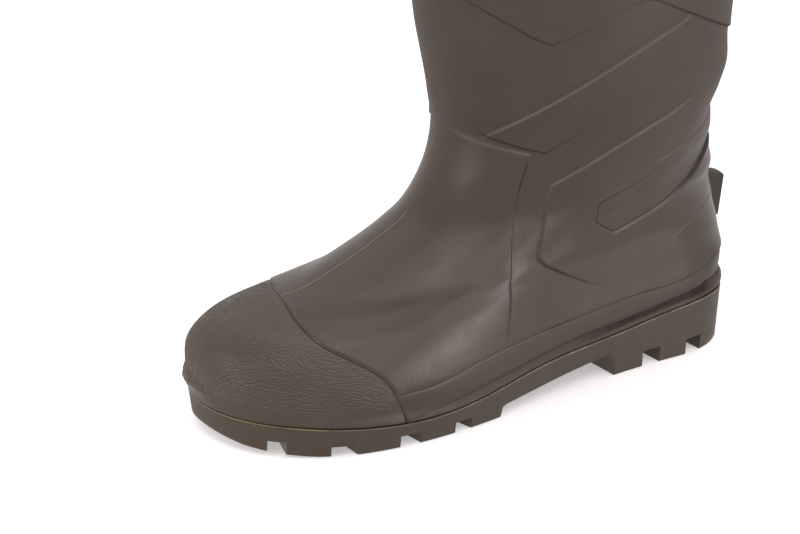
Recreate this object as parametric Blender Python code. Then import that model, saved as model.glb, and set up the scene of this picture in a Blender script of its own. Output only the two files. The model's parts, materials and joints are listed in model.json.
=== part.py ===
"""Moulded wader boot, left foot, standing empty on its sole.

Frame: metres, +Z up, toe towards -Y, outer side of the foot towards +X,
ground at z = 0, origin under the middle of the boot.  All sizes below are in
millimetres, measured from the back of the heel (y = 0, toe negative).
"""
import bpy
import bmesh
import numpy as np
from math import pi, radians, tan

MM = 0.001

# ---------------------------------------------------------------- main sizes
MIDDLE_Y = -147.80      # middle of the boot's length, moved to the origin
WALL = 2.6              # moulded wall of the upper
GAP = 0.3               # clearance where two pieces meet
LAY = 0.6               # clearance of an overlay on the curved upper

SOLE_MARGIN = 2.8       # outsole edge outside the feather line
SOLE_DRAFT = 1.1        # taper of the outsole edge, top to ground
INSOLE_THICK = 4.0
INSOLE_CLEAR = 0.6      # insole edge to the inside of the wall

CAP_THICK = 1.0         # toe cap, proud of the upper
CAP_FOOT = 1.6          # lower edge of cap and band above the sole
BAND_THICK = 1.2        # foxing band, proud of the upper
BAND_TOP = 16.5         # height of the foxing band's upper edge
BAND_EDGE = 0.5         # band thickness left at its rounded upper edge

SPUR_WIDTH = 17.0       # kick-off lug at the back of the heel
SPUR_LOW, SPUR_HIGH = 27.0, 74.5    # its lower and upper edge up the heel
SPUR_FALL = 4.2         # how far its top falls towards the back
SPUR_FACE_LOW, SPUR_FACE_HIGH = 5.4, 8.0    # y of its back face
SPUR_DRAFT = 0.86       # width at its back face over width at its root

AROUND = 52             # facets round the upper
BETWEEN = 2             # facets between two sections of the table

# ------------------------------------------------- sections of the boot's form
# One row is one closed loop round the boot, from the sole edge to the collar.
#   front_y, front_z   front point of the loop    back_y, back_z   back point
#   fore_out, fore_in  half widths at the ball    rear_out, rear_in  at the heel
#   fore_at, rear_at   where those widths start, as a share of the loop's depth
#   round_front, round_back   exponents of the rounded front and back
#   waist_out, waist_in       hollowing between ball and heel
#   skew               sideways swing of the toe
COLUMNS = ("front_y", "front_z", "back_y", "back_z", "fore_out", "fore_in",
           "rear_out", "rear_in", "fore_at", "rear_at", "round_front",
           "round_back", "waist_out", "waist_in", "skew")
SECTIONS = (
    (-298.0, 20.0, -0.8, 32.5, 59.0, 46.5, 38.5, 38.0, 0.27, 0.84, 2.25, 2.15, 2.0, 4.0, -10.0),
    (-302.0, 33.0, 0.4, 45.0, 60.0, 47.3, 38.5, 38.0, 0.27, 0.84, 2.25, 2.15, 2.5, 4.0, -10.0),
    (-299.8, 44.0, 0.0, 56.0, 58.0, 48.8, 38.0, 37.5, 0.28, 0.83, 2.31, 2.15, 2.5, 4.0, -10.0),
    (-289.0, 55.9, -1.8, 66.0, 53.5, 45.4, 38.0, 37.5, 0.30, 0.82, 2.25, 2.15, 2.0, 3.0, -8.9),
    (-274.0, 61.0, -4.4, 74.0, 49.0, 42.2, 38.5, 38.0, 0.33, 0.80, 2.03, 2.15, 1.0, 2.0, -6.9),
    (-247.0, 65.0, -7.0, 83.0, 45.5, 41.7, 40.0, 39.0, 0.40, 0.76, 2.00, 2.15, 0.0, 0.5, -4.5),
    (-225.0, 73.5, -9.3, 92.0, 45.0, 42.3, 42.5, 41.5, 0.46, 0.70, 2.00, 2.15, 0.0, 0.0, -2.5),
    (-206.0, 82.9, -11.0, 101.0, 46.4, 44.2, 45.4, 44.6, 0.52, 0.64, 2.00, 2.12, 0.0, 0.0, -1.2),
    (-191.0, 92.4, -12.3, 110.0, 48.3, 46.8, 48.1, 46.9, 0.56, 0.60, 2.00, 2.10, 0.0, 0.0, -0.5),
    (-177.0, 109.0, -12.9, 119.0, 51.1, 50.4, 51.1, 50.4, 0.54, 0.57, 2.00, 2.10, 0.0, 0.0, 0.0),
    (-169.4, 127.0, -12.3, 130.0, 54.8, 54.6, 54.8, 54.6, 0.52, 0.54, 2.03, 2.08, 0.0, 0.0, 0.0),
    (-169.6, 148.0, -10.4, 149.0, 60.5, 60.5, 60.5, 60.5, 0.50, 0.50, 2.06, 2.08, 0.0, 0.0, 0.0),
    (-176.5, 185.0, -8.6, 185.0, 65.9, 65.9, 65.9, 65.9, 0.50, 0.50, 2.05, 2.05, 0.0, 0.0, 0.0),
    (-181.5, 235.0, -8.6, 235.0, 69.4, 69.4, 69.4, 69.4, 0.50, 0.50, 2.03, 2.03, 0.0, 0.0, 0.0),
    (-183.0, 285.0, -9.0, 285.0, 70.5, 70.5, 70.5, 70.5, 0.50, 0.50, 2.02, 2.02, 0.0, 0.0, 0.0),
)

# Feather line: height of the sole's upper edge along the foot (y, z), before it
# droops at both ends
SEAT = ((-304.0, 21.0), (-285.0, 16.2), (-260.0, 13.0), (-228.0, 11.8),
        (-200.0, 12.2), (-168.0, 15.2), (-133.0, 19.5), (-100.0, 22.8),
        (-67.0, 26.6), (-32.0, 31.0), (4.0, 33.5))
TOE_DROOP, HEEL_DROOP = 4.0, 4.5    # how far the feather line comes down there
TOE_FROM, TOE_TO = -268.0, -300.0   # y where the droop starts and is full
HEEL_FROM, HEEL_TO = -58.0, 0.0
DROOP_END = 14.0        # level above which the loops no longer droop

# Underside of the outsole along the foot (y, z): toe spring, tread plane,
# arch under the waist, heel breast, heel
UNDERSIDE = ((-300.0, 8.0), (-292.0, 4.6), (-280.0, 2.0), (-266.0, 0.5),
             (-254.0, 0.0), (-168.6, 0.0), (-167.1, 5.4), (-126.0, 9.6),
             (-92.6, 12.6), (-90.6, 0.0), (2.0, 0.0))

# Channels between the lugs, cut right across the sole:
#   edge_y  middle of the channel at the outer edge     width
#   roof_z  height of its flat roof     sweep_deg  lean back towards the middle
CHANNELS = (
    {"edge_y": -286.1, "width": 8.4, "roof_z": 8.0, "sweep_deg": 15.0},
    {"edge_y": -254.4, "width": 11.9, "roof_z": 5.3, "sweep_deg": -2.5},
    {"edge_y": -222.9, "width": 11.1, "roof_z": 5.9, "sweep_deg": -7.0},
    {"edge_y": -193.6, "width": 10.0, "roof_z": 5.6, "sweep_deg": -12.0},
    {"edge_y": -65.3, "width": 12.0, "roof_z": 8.7, "sweep_deg": 0.0},
    {"edge_y": -36.0, "width": 11.2, "roof_z": 8.8, "sweep_deg": 0.0},
)
CHANNEL_EDGE_X = 50.0   # where edge_y is measured

# Toe cap edge: angle round the boot (0 toe, positive outer side) and height
CAP_EDGE = ((-61.5, 8.0), (-60.3, 14.0), (-57.5, 22.5), (-52.0, 33.0),
            (-45.0, 42.5), (-34.0, 51.8), (-16.0, 59.8), (0.0, 61.0),
            (14.0, 56.3), (25.5, 48.5), (33.0, 41.8), (38.5, 36.9),
            (48.0, 30.1), (53.0, 25.6), (56.5, 20.5), (58.6, 14.0),
            (59.5, 8.0))

# -------------------------------------------------------------------- colours
PVC_BROWN = (0.089, 0.071, 0.058, 1.0)
SOLE_BROWN = (0.080, 0.064, 0.052, 1.0)
LINING_GREY = (0.190, 0.170, 0.150, 1.0)


# ------------------------------------------------------------- smooth tables
def slopes(x, y):
    """Slopes of a smooth curve through the rows of a table."""
    step = np.diff(x).reshape((-1,) + (1,) * (y.ndim - 1))
    rise = np.diff(y, axis=0) / step
    m = np.empty_like(y)
    m[0], m[-1] = rise[0], rise[-1]
    m[1:-1] = (rise[:-1] * step[1:] + rise[1:] * step[:-1]) / (step[1:] + step[:-1])
    return m


def curve(x, y, m, at):
    """Cubic curve through a table, read at any place."""
    at = np.clip(np.asarray(at, float), x[0], x[-1])
    k = np.clip(np.searchsorted(x, at, side="right") - 1, 0, len(x) - 2)
    h = x[k + 1] - x[k]
    t = (at - x[k]) / h
    wide = (...,) + (None,) * (y.ndim - 1)
    h, t = h[wide], t[wide]
    return ((2 * t**3 - 3 * t**2 + 1) * y[k] + (t**3 - 2 * t**2 + t) * h * m[k]
            + (3 * t**2 - 2 * t**3) * y[k + 1] + (t**3 - t**2) * h * m[k + 1])


def ease(t):
    t = np.clip(t, 0.0, 1.0)
    return t * t * (3 - 2 * t)


TABLE = np.array(SECTIONS)
COL = {name: i for i, name in enumerate(COLUMNS)}
# height parameter of each section: mean path length up the front and the back
LEVEL = np.concatenate(([0.0], np.cumsum(
    0.5 * np.hypot(np.diff(TABLE[:, 0]), np.diff(TABLE[:, 1]))
    + 0.5 * np.hypot(np.diff(TABLE[:, 2]), np.diff(TABLE[:, 3])))))
TABLE_SLOPE = slopes(LEVEL, TABLE)
TOP = LEVEL[-1]
SAG_END = LEVEL[6]      # above this the loops no longer follow the feather line
SEAT_Y, SEAT_Z = np.array(SEAT).T
SEAT_SLOPE = slopes(SEAT_Y, SEAT_Z)


def sag(y):
    """Feather line without the droop at its ends."""
    return curve(SEAT_Y, SEAT_Z, SEAT_SLOPE, y)


def droop(y):
    return (TOE_DROOP * ease((y - TOE_FROM) / (TOE_TO - TOE_FROM))
            + HEEL_DROOP * ease((y - HEEL_FROM) / (HEEL_TO - HEEL_FROM)))


def seat(y):
    """Feather line: height of the sole's upper edge."""
    return sag(y) - droop(y)


# ------------------------------------------------------------ the boot's form
def half_width(share, outer, c, margin=0.0):
    """Half width of a loop at a share of its depth, 0 front to 1 back."""
    fore = np.where(outer, c["fore_out"], c["fore_in"]) + margin
    rear = np.where(outer, c["rear_out"], c["rear_in"]) + margin
    hollow = np.where(outer, c["waist_out"], c["waist_in"])
    a, b = c["fore_at"], np.maximum(c["rear_at"], c["fore_at"] + 0.001)
    mid = np.clip((share - a) / (b - a), 0.0, 1.0)
    w = fore + (rear - fore) * ease(mid) - hollow * np.sin(pi * mid) ** 2
    f = np.clip(1 - share / a, 0.0, 1.0)
    r = np.clip((share - b) / (1 - b), 0.0, 1.0)
    return (w * (1 - f ** c["round_front"]) ** (1 / c["round_front"])
            * (1 - r ** c["round_back"]) ** (1 / c["round_back"]))


def swing(share, skew):
    return skew * (1 - share) ** 2.2


def form(angle, level):
    """Point of the outer surface: angle 0 at the toe, pi/2 outer side, pi heel."""
    angle, level = np.broadcast_arrays(np.asarray(angle, float), np.asarray(level, float))
    row = curve(LEVEL, TABLE, TABLE_SLOPE, level)
    c = {name: row[..., i] for name, i in COL.items()}
    share = 0.5 * (1 - np.cos(angle))
    x = (half_width(share, np.sin(angle) >= 0, c) * np.sign(np.sin(angle))
         + swing(share, c["skew"]))
    y = c["front_y"] + (c["back_y"] - c["front_y"]) * share
    z = c["front_z"] + (c["back_z"] - c["front_z"]) * share
    first = TABLE[0, COL["front_z"]] + (TABLE[0, COL["back_z"]] - TABLE[0, COL["front_z"]]) * share
    z = z + (sag(y) - first) * (1 - ease(level / SAG_END))
    z = z - droop(y) * (1 - ease(level / DROOP_END))
    return np.stack([x, y, z], axis=-1)


def outward(angle, level):
    """Unit normal of the outer surface."""
    level = np.asarray(level, float)
    along = form(angle + 0.001, level) - form(angle - 0.001, level)
    up = form(angle, np.minimum(level + 0.2, TOP)) - form(angle, np.maximum(level - 0.2, 0.0))
    n = np.cross(along, up)
    return n / np.linalg.norm(n, axis=-1, keepdims=True)


def lifted(angle, level, lift):
    """The form moved along its normal; flat at the feather line and the collar."""
    n = outward(angle, level)
    flat = ease(np.asarray(level) / 16.0) * ease((TOP - np.asarray(level)) / 20.0)
    n[..., 2] *= flat
    n /= np.linalg.norm(n, axis=-1, keepdims=True)
    return form(angle, level) + n * np.asarray(lift)[..., None]


# ------------------------------------------------------------- mesh building
def material(name, colour, rough):
    m = bpy.data.materials.new(name)
    m.use_nodes = True
    bsdf = m.node_tree.nodes["Principled BSDF"]
    bsdf.inputs["Base Color"].default_value = colour
    bsdf.inputs["Roughness"].default_value = rough
    bsdf.inputs["Metallic"].default_value = 0.0
    return m


def solid(name, points, faces, finish, smooth=True, hidden=False):
    """A closed mesh object from points in millimetres."""
    place = (np.asarray(points, float) - np.array([0.0, MIDDLE_Y, 0.0])) * MM
    mesh = bpy.data.meshes.new(name)
    mesh.from_pydata([tuple(p) for p in place], [], faces)
    bm = bmesh.new()
    bm.from_mesh(mesh)
    bmesh.ops.recalc_face_normals(bm, faces=bm.faces)
    bm.to_mesh(mesh)
    bm.free()
    if smooth:
        mesh.shade_smooth()
        mesh.set_sharp_from_angle(angle=radians(40))
    obj = bpy.data.objects.new(name, mesh)
    bpy.context.scene.collection.objects.link(obj)
    if finish is not None:
        mesh.materials.append(finish)
    if hidden:
        obj.hide_render = True
        obj.display_type = "WIRE"
    return obj


def band_faces(rows, cols, closed, first=0, flip=False):
    """Quads of a grid of points stored row by row."""
    faces = []
    for r in range(rows - 1):
        for c in range(cols if closed else cols - 1):
            d = (c + 1) % cols
            q = [first + r * cols + c, first + r * cols + d,
                 first + (r + 1) * cols + d, first + (r + 1) * cols + c]
            faces.append(q[::-1] if flip else q)
    return faces


def patch(name, outer, inner, finish):
    """Closed solid between two grids of the same shape."""
    rows, cols, _ = outer.shape
    half = rows * cols
    points = np.concatenate([outer.reshape(-1, 3), inner.reshape(-1, 3)])
    faces = band_faces(rows, cols, False) + band_faces(rows, cols, False, half, True)
    rim = ([c for c in range(cols)]
           + [r * cols + cols - 1 for r in range(1, rows)]
           + [(rows - 1) * cols + c for c in range(cols - 2, -1, -1)]
           + [r * cols for r in range(rows - 2, 0, -1)])
    for a, b in zip(rim, rim[1:] + rim[:1]):
        faces.append([b, a, half + a, half + b])
    return solid(name, points, faces, finish)


# -------------------------------------------------------------------- pieces
def make_upper(finish):
    """Hollow shaft and foot in one wall, open at the collar and underneath."""
    angle = np.linspace(0.0, 2 * pi, AROUND, endpoint=False)
    level = np.concatenate([np.linspace(a, b, BETWEEN, endpoint=False)
                            for a, b in zip(LEVEL, LEVEL[1:])] + [[TOP]])
    ang, lev = np.meshgrid(angle, level)
    outer = form(ang, lev)
    inner = lifted(ang, lev, np.full(lev.shape, -WALL))
    rows, cols = lev.shape
    half = rows * cols
    points = np.concatenate([outer.reshape(-1, 3), inner.reshape(-1, 3)])
    faces = band_faces(rows, cols, True) + band_faces(rows, cols, True, half, True)
    for c in range(cols):
        d = (c + 1) % cols
        last = (rows - 1) * cols
        faces.append([d, c, half + c, half + d])
        faces.append([last + c, last + d, half + last + d, half + last + c])
    return solid("upper", points, faces, finish)


def cap_side(level, side):
    """Angle of the toe cap's edge on one side, low on the boot."""
    rows = [r for r in CAP_EDGE if r[0] * side > 40.0]
    rows.sort(key=lambda r: r[1])
    return np.interp(level, [r[1] for r in rows], [r[0] for r in rows])


def make_toe_cap(finish, cols=35, rows=15):
    """Overlay over the toe, between two forms lifted off the upper."""
    edge_angle, edge_level = np.array(CAP_EDGE).T
    angle = np.linspace(edge_angle[0], edge_angle[-1], cols)
    top = curve(edge_angle, edge_level, slopes(edge_angle, edge_level), angle)
    share = np.linspace(0.0, 1.0, rows)[:, None]
    lev = CAP_FOOT + (top[None, :] - CAP_FOOT) * share
    ang = np.broadcast_to(np.radians(angle)[None, :], lev.shape)
    return patch("toe_cap", lifted(ang, lev, np.full(lev.shape, LAY + CAP_THICK)),
                 lifted(ang, lev, np.full(lev.shape, LAY)), finish)


def make_foxing_band(finish, cols=46):
    """Band round the foot above the sole, from one side of the toe cap to the other."""
    level = np.array([CAP_FOOT, 6.0, 10.0, BAND_TOP - 2.0, BAND_TOP])
    thick = np.array([BAND_THICK, BAND_THICK, BAND_THICK, BAND_THICK, BAND_EDGE])
    clear = 0.3         # degrees left beside the toe cap
    start = cap_side(level, 1) + clear
    end = 360.0 + cap_side(level, -1) - clear
    share = np.linspace(0.0, 1.0, cols)[None, :]
    ang = np.radians(start[:, None] + (end - start)[:, None] * share)
    lev = np.broadcast_to(level[:, None], ang.shape)
    lift = np.broadcast_to(thick[:, None], ang.shape) + LAY
    return patch("foxing_band", lifted(ang, lev, lift),
                 lifted(ang, lev, np.full(lev.shape, LAY)), finish)


def make_kick_off_lug(finish, cols=5, rows=5):
    """Block at the back of the heel for pushing the boot off."""
    level = np.linspace(SPUR_LOW, SPUR_HIGH, rows)
    side = np.linspace(-1.0, 1.0, cols)
    # angle that puts the root's edges at half the width of the lug
    reach = np.linspace(0.0, 0.9, 400)
    root = np.empty((rows, cols, 3))
    for r, lev in enumerate(level):
        x_at = form(pi - reach, np.full(reach.shape, lev))[:, 0]
        for c, s in enumerate(side):
            a = np.interp(abs(s) * SPUR_WIDTH / 2, x_at, reach)
            root[r, c] = lifted(np.array(pi - np.sign(s) * a), np.array(lev), np.array(LAY))
    back = root.copy()
    back[..., 0] *= SPUR_DRAFT
    rise = np.linspace(0.0, 1.0, rows)[:, None]
    back[..., 1] = SPUR_FACE_LOW + (SPUR_FACE_HIGH - SPUR_FACE_LOW) * rise
    back[..., 2] = (root[0, cols // 2, 2] + 1.5
                    + (root[-1, cols // 2, 2] - SPUR_FALL - 1.5 - root[0, cols // 2, 2]) * rise)
    return patch("kick_off_lug", back, root, finish)


def sole_outline(y, margin):
    """Outer and inner edge of the sole at a place along the foot."""
    c = {name: TABLE[0, i] for name, i in COL.items()}
    front, back = c["front_y"] - margin, c["back_y"] + margin
    share = np.clip((y - front) / (back - front), 0.0, 1.0)
    mid = swing(share, c["skew"])
    return (mid + half_width(share, True, c, margin),
            mid - half_width(share, False, c, margin))


def plate(name, stations, top_z, low_z, top_margin, low_margin, finish):
    """Closed slab with a foot outline, from crosswise stations."""
    front = TABLE[0, COL["front_y"]]
    back = TABLE[0, COL["back_y"]]

    def loop(margin, height):
        y = front - margin + (back - front + 2 * margin) * stations
        out, inn = sole_outline(y, margin)
        z = height(y)
        return np.stack([out, y, z], -1), np.stack([inn, y, z], -1)

    n = len(stations)
    rows = [*loop(top_margin, top_z), *loop(low_margin, low_z)]
    points = np.concatenate(rows)
    to, ti, lo, li = (k * n for k in range(4))
    faces = []
    for k in range(n - 1):
        faces += [[to + k, to + k + 1, ti + k + 1, ti + k],
                  [lo + k + 1, lo + k, li + k, li + k + 1],
                  [to + k + 1, to + k, lo + k, lo + k + 1],
                  [ti + k, ti + k + 1, li + k + 1, li + k]]
    piece = solid(name, points, faces, finish)
    bm = bmesh.new()
    bm.from_mesh(piece.data)
    bmesh.ops.remove_doubles(bm, verts=bm.verts, dist=0.00002)
    bmesh.ops.dissolve_degenerate(bm, edges=bm.edges, dist=0.00001)
    bmesh.ops.recalc_face_normals(bm, faces=bm.faces)
    bm.to_mesh(piece.data)
    bm.free()
    return piece


def shares(extra=()):
    """Stations along the sole, close together where the ends are round."""
    turn = 0.5 * (1 - np.cos(np.linspace(0.0, pi, 49)))
    return np.unique(np.round(np.concatenate([turn, np.asarray(extra, float)]), 5))


def make_outsole(finish):
    """Lugged sole with toe spring, arch and heel."""
    under_y, under_z = np.array(UNDERSIDE).T
    margin = SOLE_MARGIN - SOLE_DRAFT
    front, back = TABLE[0, COL["front_y"]] - margin, TABLE[0, COL["back_y"]] + margin
    marks = [(y - front) / (back - front) for y in under_y if front < y < back]
    stations = shares(marks)
    keep = [True] + [min(abs(s - m) for m in marks) > 0.006 or s in np.round(marks, 5)
                     for s in stations[1:-1]] + [True]
    sole = plate("outsole", stations[keep], lambda y: seat(y) - GAP,
                 lambda y: np.interp(y, under_y, under_z), SOLE_MARGIN, margin, finish)
    for k, ch in enumerate(CHANNELS):
        half = ch["width"] / 2
        reach = 80.0
        slope = tan(radians(ch["sweep_deg"]))
        mid_y = ch["edge_y"] + CHANNEL_EDGE_X * slope
        spine = [(-reach, mid_y - reach * slope), (0.0, mid_y), (reach, mid_y - reach * slope)]
        low, roof = -6.0, ch["roof_z"]
        ring = ([(x, y - half) for x, y in spine] + [(x, y + half) for x, y in spine[::-1]])
        points = [(x, y, low) for x, y in ring] + [(x, y, roof) for x, y in ring]
        n = len(ring)
        faces = [list(range(n))[::-1], list(range(n, 2 * n))]
        faces += [[i, (i + 1) % n, n + (i + 1) % n, n + i] for i in range(n)]
        cutter = solid("channel_%d" % (k + 1), points, faces, None, False, True)
        cut = sole.modifiers.new("channel_%d" % (k + 1), "BOOLEAN")
        cut.operation = "DIFFERENCE"
        cut.solver = "EXACT"
        cut.object = cutter
    return sole


def make_insole(finish):
    """Flat inner sole lying on the outsole inside the wall."""
    inset = -(WALL + INSOLE_CLEAR)
    return plate("insole", shares(), lambda y: seat(y) + INSOLE_THICK,
                 lambda y: seat(y) + GAP, inset, inset, finish)


def main():
    for obj in list(bpy.data.objects):
        bpy.data.objects.remove(obj, do_unlink=True)
    pvc = material("upper_pvc", PVC_BROWN, 0.42)
    cap = material("toe_cap_pvc", PVC_BROWN, 0.55)
    band = material("foxing_pvc", PVC_BROWN, 0.45)
    lug = material("kick_off_pvc", PVC_BROWN, 0.48)
    tread = material("outsole_pvc", SOLE_BROWN, 0.55)
    sock = material("insole_cloth", LINING_GREY, 0.90)
    make_upper(pvc)
    make_outsole(tread)
    make_insole(sock)
    make_toe_cap(cap)
    make_foxing_band(band)
    make_kick_off_lug(lug)


main()
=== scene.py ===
"""Looks of the moulded wader boot: fine surface, mould lines, grain, lining, floor and light.

All sizes are millimetres from the back of the heel (y = 0, toe negative), as in
the part's own design; place() turns them into the frame's metres.
"""

import json
from math import cos, pi, radians, sin, tan

import bmesh
import bpy
import numpy as np
from mathutils import Matrix, Quaternion, Vector

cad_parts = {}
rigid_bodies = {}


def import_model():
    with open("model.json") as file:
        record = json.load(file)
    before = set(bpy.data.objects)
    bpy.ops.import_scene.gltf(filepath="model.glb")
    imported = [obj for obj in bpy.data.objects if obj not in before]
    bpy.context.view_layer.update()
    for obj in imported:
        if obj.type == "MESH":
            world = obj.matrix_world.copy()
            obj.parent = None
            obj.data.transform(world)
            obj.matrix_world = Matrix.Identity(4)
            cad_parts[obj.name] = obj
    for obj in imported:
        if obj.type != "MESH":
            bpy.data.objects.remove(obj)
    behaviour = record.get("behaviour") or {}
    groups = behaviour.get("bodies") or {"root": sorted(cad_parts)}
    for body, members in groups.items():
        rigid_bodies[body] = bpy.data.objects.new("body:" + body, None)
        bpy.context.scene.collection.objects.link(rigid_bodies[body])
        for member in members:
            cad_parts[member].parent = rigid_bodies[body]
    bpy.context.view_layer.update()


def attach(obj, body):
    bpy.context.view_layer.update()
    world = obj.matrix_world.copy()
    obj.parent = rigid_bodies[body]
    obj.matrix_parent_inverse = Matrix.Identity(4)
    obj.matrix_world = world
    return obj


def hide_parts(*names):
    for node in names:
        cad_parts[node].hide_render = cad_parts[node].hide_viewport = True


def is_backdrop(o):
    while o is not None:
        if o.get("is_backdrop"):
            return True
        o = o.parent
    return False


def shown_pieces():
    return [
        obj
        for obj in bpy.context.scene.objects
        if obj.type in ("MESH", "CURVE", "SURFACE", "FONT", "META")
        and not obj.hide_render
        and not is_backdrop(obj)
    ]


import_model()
scene = bpy.context.scene

MM = 0.001
MIDDLE_Y = -147.80
WALL = 2.6

# ------------------------------------------------------------ the boot's form
COLUMNS = ("front_y", "front_z", "back_y", "back_z", "fore_out", "fore_in",
           "rear_out", "rear_in", "fore_at", "rear_at", "round_front",
           "round_back", "waist_out", "waist_in", "skew")
SECTIONS = (
    (-298.0, 20.0, -0.8, 32.5, 59.0, 46.5, 38.5, 38.0, 0.27, 0.84, 2.25, 2.15, 2.0, 4.0, -10.0),
    (-302.0, 33.0, 0.4, 45.0, 60.0, 47.3, 38.5, 38.0, 0.27, 0.84, 2.25, 2.15, 2.5, 4.0, -10.0),
    (-299.8, 44.0, 0.0, 56.0, 58.0, 48.8, 38.0, 37.5, 0.28, 0.83, 2.31, 2.15, 2.5, 4.0, -10.0),
    (-289.0, 55.9, -1.8, 66.0, 53.5, 45.4, 38.0, 37.5, 0.30, 0.82, 2.25, 2.15, 2.0, 3.0, -8.9),
    (-274.0, 61.0, -4.4, 74.0, 49.0, 42.2, 38.5, 38.0, 0.33, 0.80, 2.03, 2.15, 1.0, 2.0, -6.9),
    (-247.0, 65.0, -7.0, 83.0, 45.5, 41.7, 40.0, 39.0, 0.40, 0.76, 2.00, 2.15, 0.0, 0.5, -4.5),
    (-225.0, 73.5, -9.3, 92.0, 45.0, 42.3, 42.5, 41.5, 0.46, 0.70, 2.00, 2.15, 0.0, 0.0, -2.5),
    (-206.0, 82.9, -11.0, 101.0, 46.4, 44.2, 45.4, 44.6, 0.52, 0.64, 2.00, 2.12, 0.0, 0.0, -1.2),
    (-191.0, 92.4, -12.3, 110.0, 48.3, 46.8, 48.1, 46.9, 0.56, 0.60, 2.00, 2.10, 0.0, 0.0, -0.5),
    (-177.0, 109.0, -12.9, 119.0, 51.1, 50.4, 51.1, 50.4, 0.54, 0.57, 2.00, 2.10, 0.0, 0.0, 0.0),
    (-169.4, 127.0, -12.3, 130.0, 54.8, 54.6, 54.8, 54.6, 0.52, 0.54, 2.03, 2.08, 0.0, 0.0, 0.0),
    (-169.6, 148.0, -10.4, 149.0, 60.5, 60.5, 60.5, 60.5, 0.50, 0.50, 2.06, 2.08, 0.0, 0.0, 0.0),
    (-176.5, 185.0, -8.6, 185.0, 65.9, 65.9, 65.9, 65.9, 0.50, 0.50, 2.05, 2.05, 0.0, 0.0, 0.0),
    (-181.5, 235.0, -8.6, 235.0, 69.4, 69.4, 69.4, 69.4, 0.50, 0.50, 2.03, 2.03, 0.0, 0.0, 0.0),
    (-183.0, 285.0, -9.0, 285.0, 70.5, 70.5, 70.5, 70.5, 0.50, 0.50, 2.02, 2.02, 0.0, 0.0, 0.0),
)
SEAT = ((-304.0, 21.0), (-285.0, 16.2), (-260.0, 13.0), (-228.0, 11.8),
        (-200.0, 12.2), (-168.0, 15.2), (-133.0, 19.5), (-100.0, 22.8),
        (-67.0, 26.6), (-32.0, 31.0), (4.0, 33.5))
TOE_DROOP, HEEL_DROOP = 4.0, 4.5
TOE_FROM, TOE_TO = -268.0, -300.0
HEEL_FROM, HEEL_TO = -58.0, 0.0
DROOP_END = 14.0
# height of the outsole's outer upper edge along the foot (y, z)
LEDGE = ((-304.0, 16.9), (-294.0, 16.7), (-285.0, 16.3), (-270.7, 15.3), (-257.5, 14.15),
         (-243.0, 12.95), (-227.0, 12.0), (-214.0, 11.65), (-200.7, 12.1), (-181.0, 14.05),
         (-160.0, 17.4), (-139.0, 20.2), (-119.0, 21.6), (-101.0, 22.5), (-84.0, 23.7),
         (-67.0, 25.8), (-50.6, 27.8), (-36.0, 29.3), (-20.0, 29.6), (4.0, 28.6))
UNDERSIDE = ((-300.0, 6.0), (-292.0, 3.4), (-280.0, 1.5), (-266.0, 0.4),
             (-254.0, 0.0), (-168.6, 0.0), (-167.1, 5.4), (-126.0, 9.6),
             (-92.6, 12.6), (-90.6, 0.0), (2.0, 0.0))
# edge_y, width, roof_z, sweep_deg of the channels between the lugs
CHANNELS = ((-286.1, 8.4, 8.0, 15.0), (-254.4, 11.9, 5.3, -2.5), (-222.9, 11.1, 5.9, -7.0),
            (-193.6, 10.0, 5.6, -12.0), (-65.3, 12.0, 8.7, 0.0), (-36.0, 11.2, 8.8, 0.0))
CHANNEL_EDGE_X = 50.0
# angle round the boot (degrees, 0 toe, positive outer side) and level of the toe cap's edge
CAP_EDGE = ((-61.9, 0.0), (-61.5, 8.0), (-60.3, 14.0), (-57.5, 22.5), (-52.0, 33.0),
            (-45.0, 42.5), (-34.0, 51.8), (-16.0, 59.8), (0.0, 61.0),
            (14.0, 56.3), (25.5, 48.5), (33.0, 41.8), (38.5, 36.9),
            (48.0, 30.1), (53.0, 25.6), (56.5, 20.5), (58.6, 14.0),
            (59.5, 8.0), (59.9, 0.0))
# levels of the foxing band's upper and lower edge round one side
BAND_TOP = ((58.0, 14.2), (63.0, 14.3), (66.3, 14.7), (71.0, 15.9), (77.0, 17.7), (83.2, 18.3),
            (89.5, 17.8), (96.0, 16.9), (103.0, 16.2), (110.0, 16.0), (117.0, 15.4), (124.0, 14.4),
            (130.0, 13.6), (138.0, 13.6), (144.0, 15.0), (150.0, 17.0), (155.0, 18.0), (160.0, 18.3),
            (170.0, 18.4), (180.0, 18.4))
BAND_FOOT = ((58.0, 0.8), (63.0, 1.6), (68.0, 3.4), (75.0, 4.4), (85.0, 5.4), (96.0, 5.6),
             (110.0, 5.4), (120.0, 4.8), (126.0, 4.6), (131.0, 5.2), (136.0, 6.2), (142.5, 7.2),
             (149.0, 7.3), (155.0, 7.3), (160.0, 7.3), (170.0, 7.3), (180.0, 7.3))


def slopes(x, y):
    step = np.diff(x).reshape((-1,) + (1,) * (y.ndim - 1))
    rise = np.diff(y, axis=0) / step
    m = np.empty_like(y)
    m[0], m[-1] = rise[0], rise[-1]
    m[1:-1] = (rise[:-1] * step[1:] + rise[1:] * step[:-1]) / (step[1:] + step[:-1])
    return m


def curve(x, y, m, at):
    at = np.clip(np.asarray(at, float), x[0], x[-1])
    k = np.clip(np.searchsorted(x, at, side="right") - 1, 0, len(x) - 2)
    h = x[k + 1] - x[k]
    t = (at - x[k]) / h
    wide = (...,) + (None,) * (y.ndim - 1)
    h, t = h[wide], t[wide]
    return ((2 * t**3 - 3 * t**2 + 1) * y[k] + (t**3 - 2 * t**2 + t) * h * m[k]
            + (3 * t**2 - 2 * t**3) * y[k + 1] + (t**3 - t**2) * h * m[k + 1])


def ease(t):
    t = np.clip(t, 0.0, 1.0)
    return t * t * (3 - 2 * t)


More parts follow.
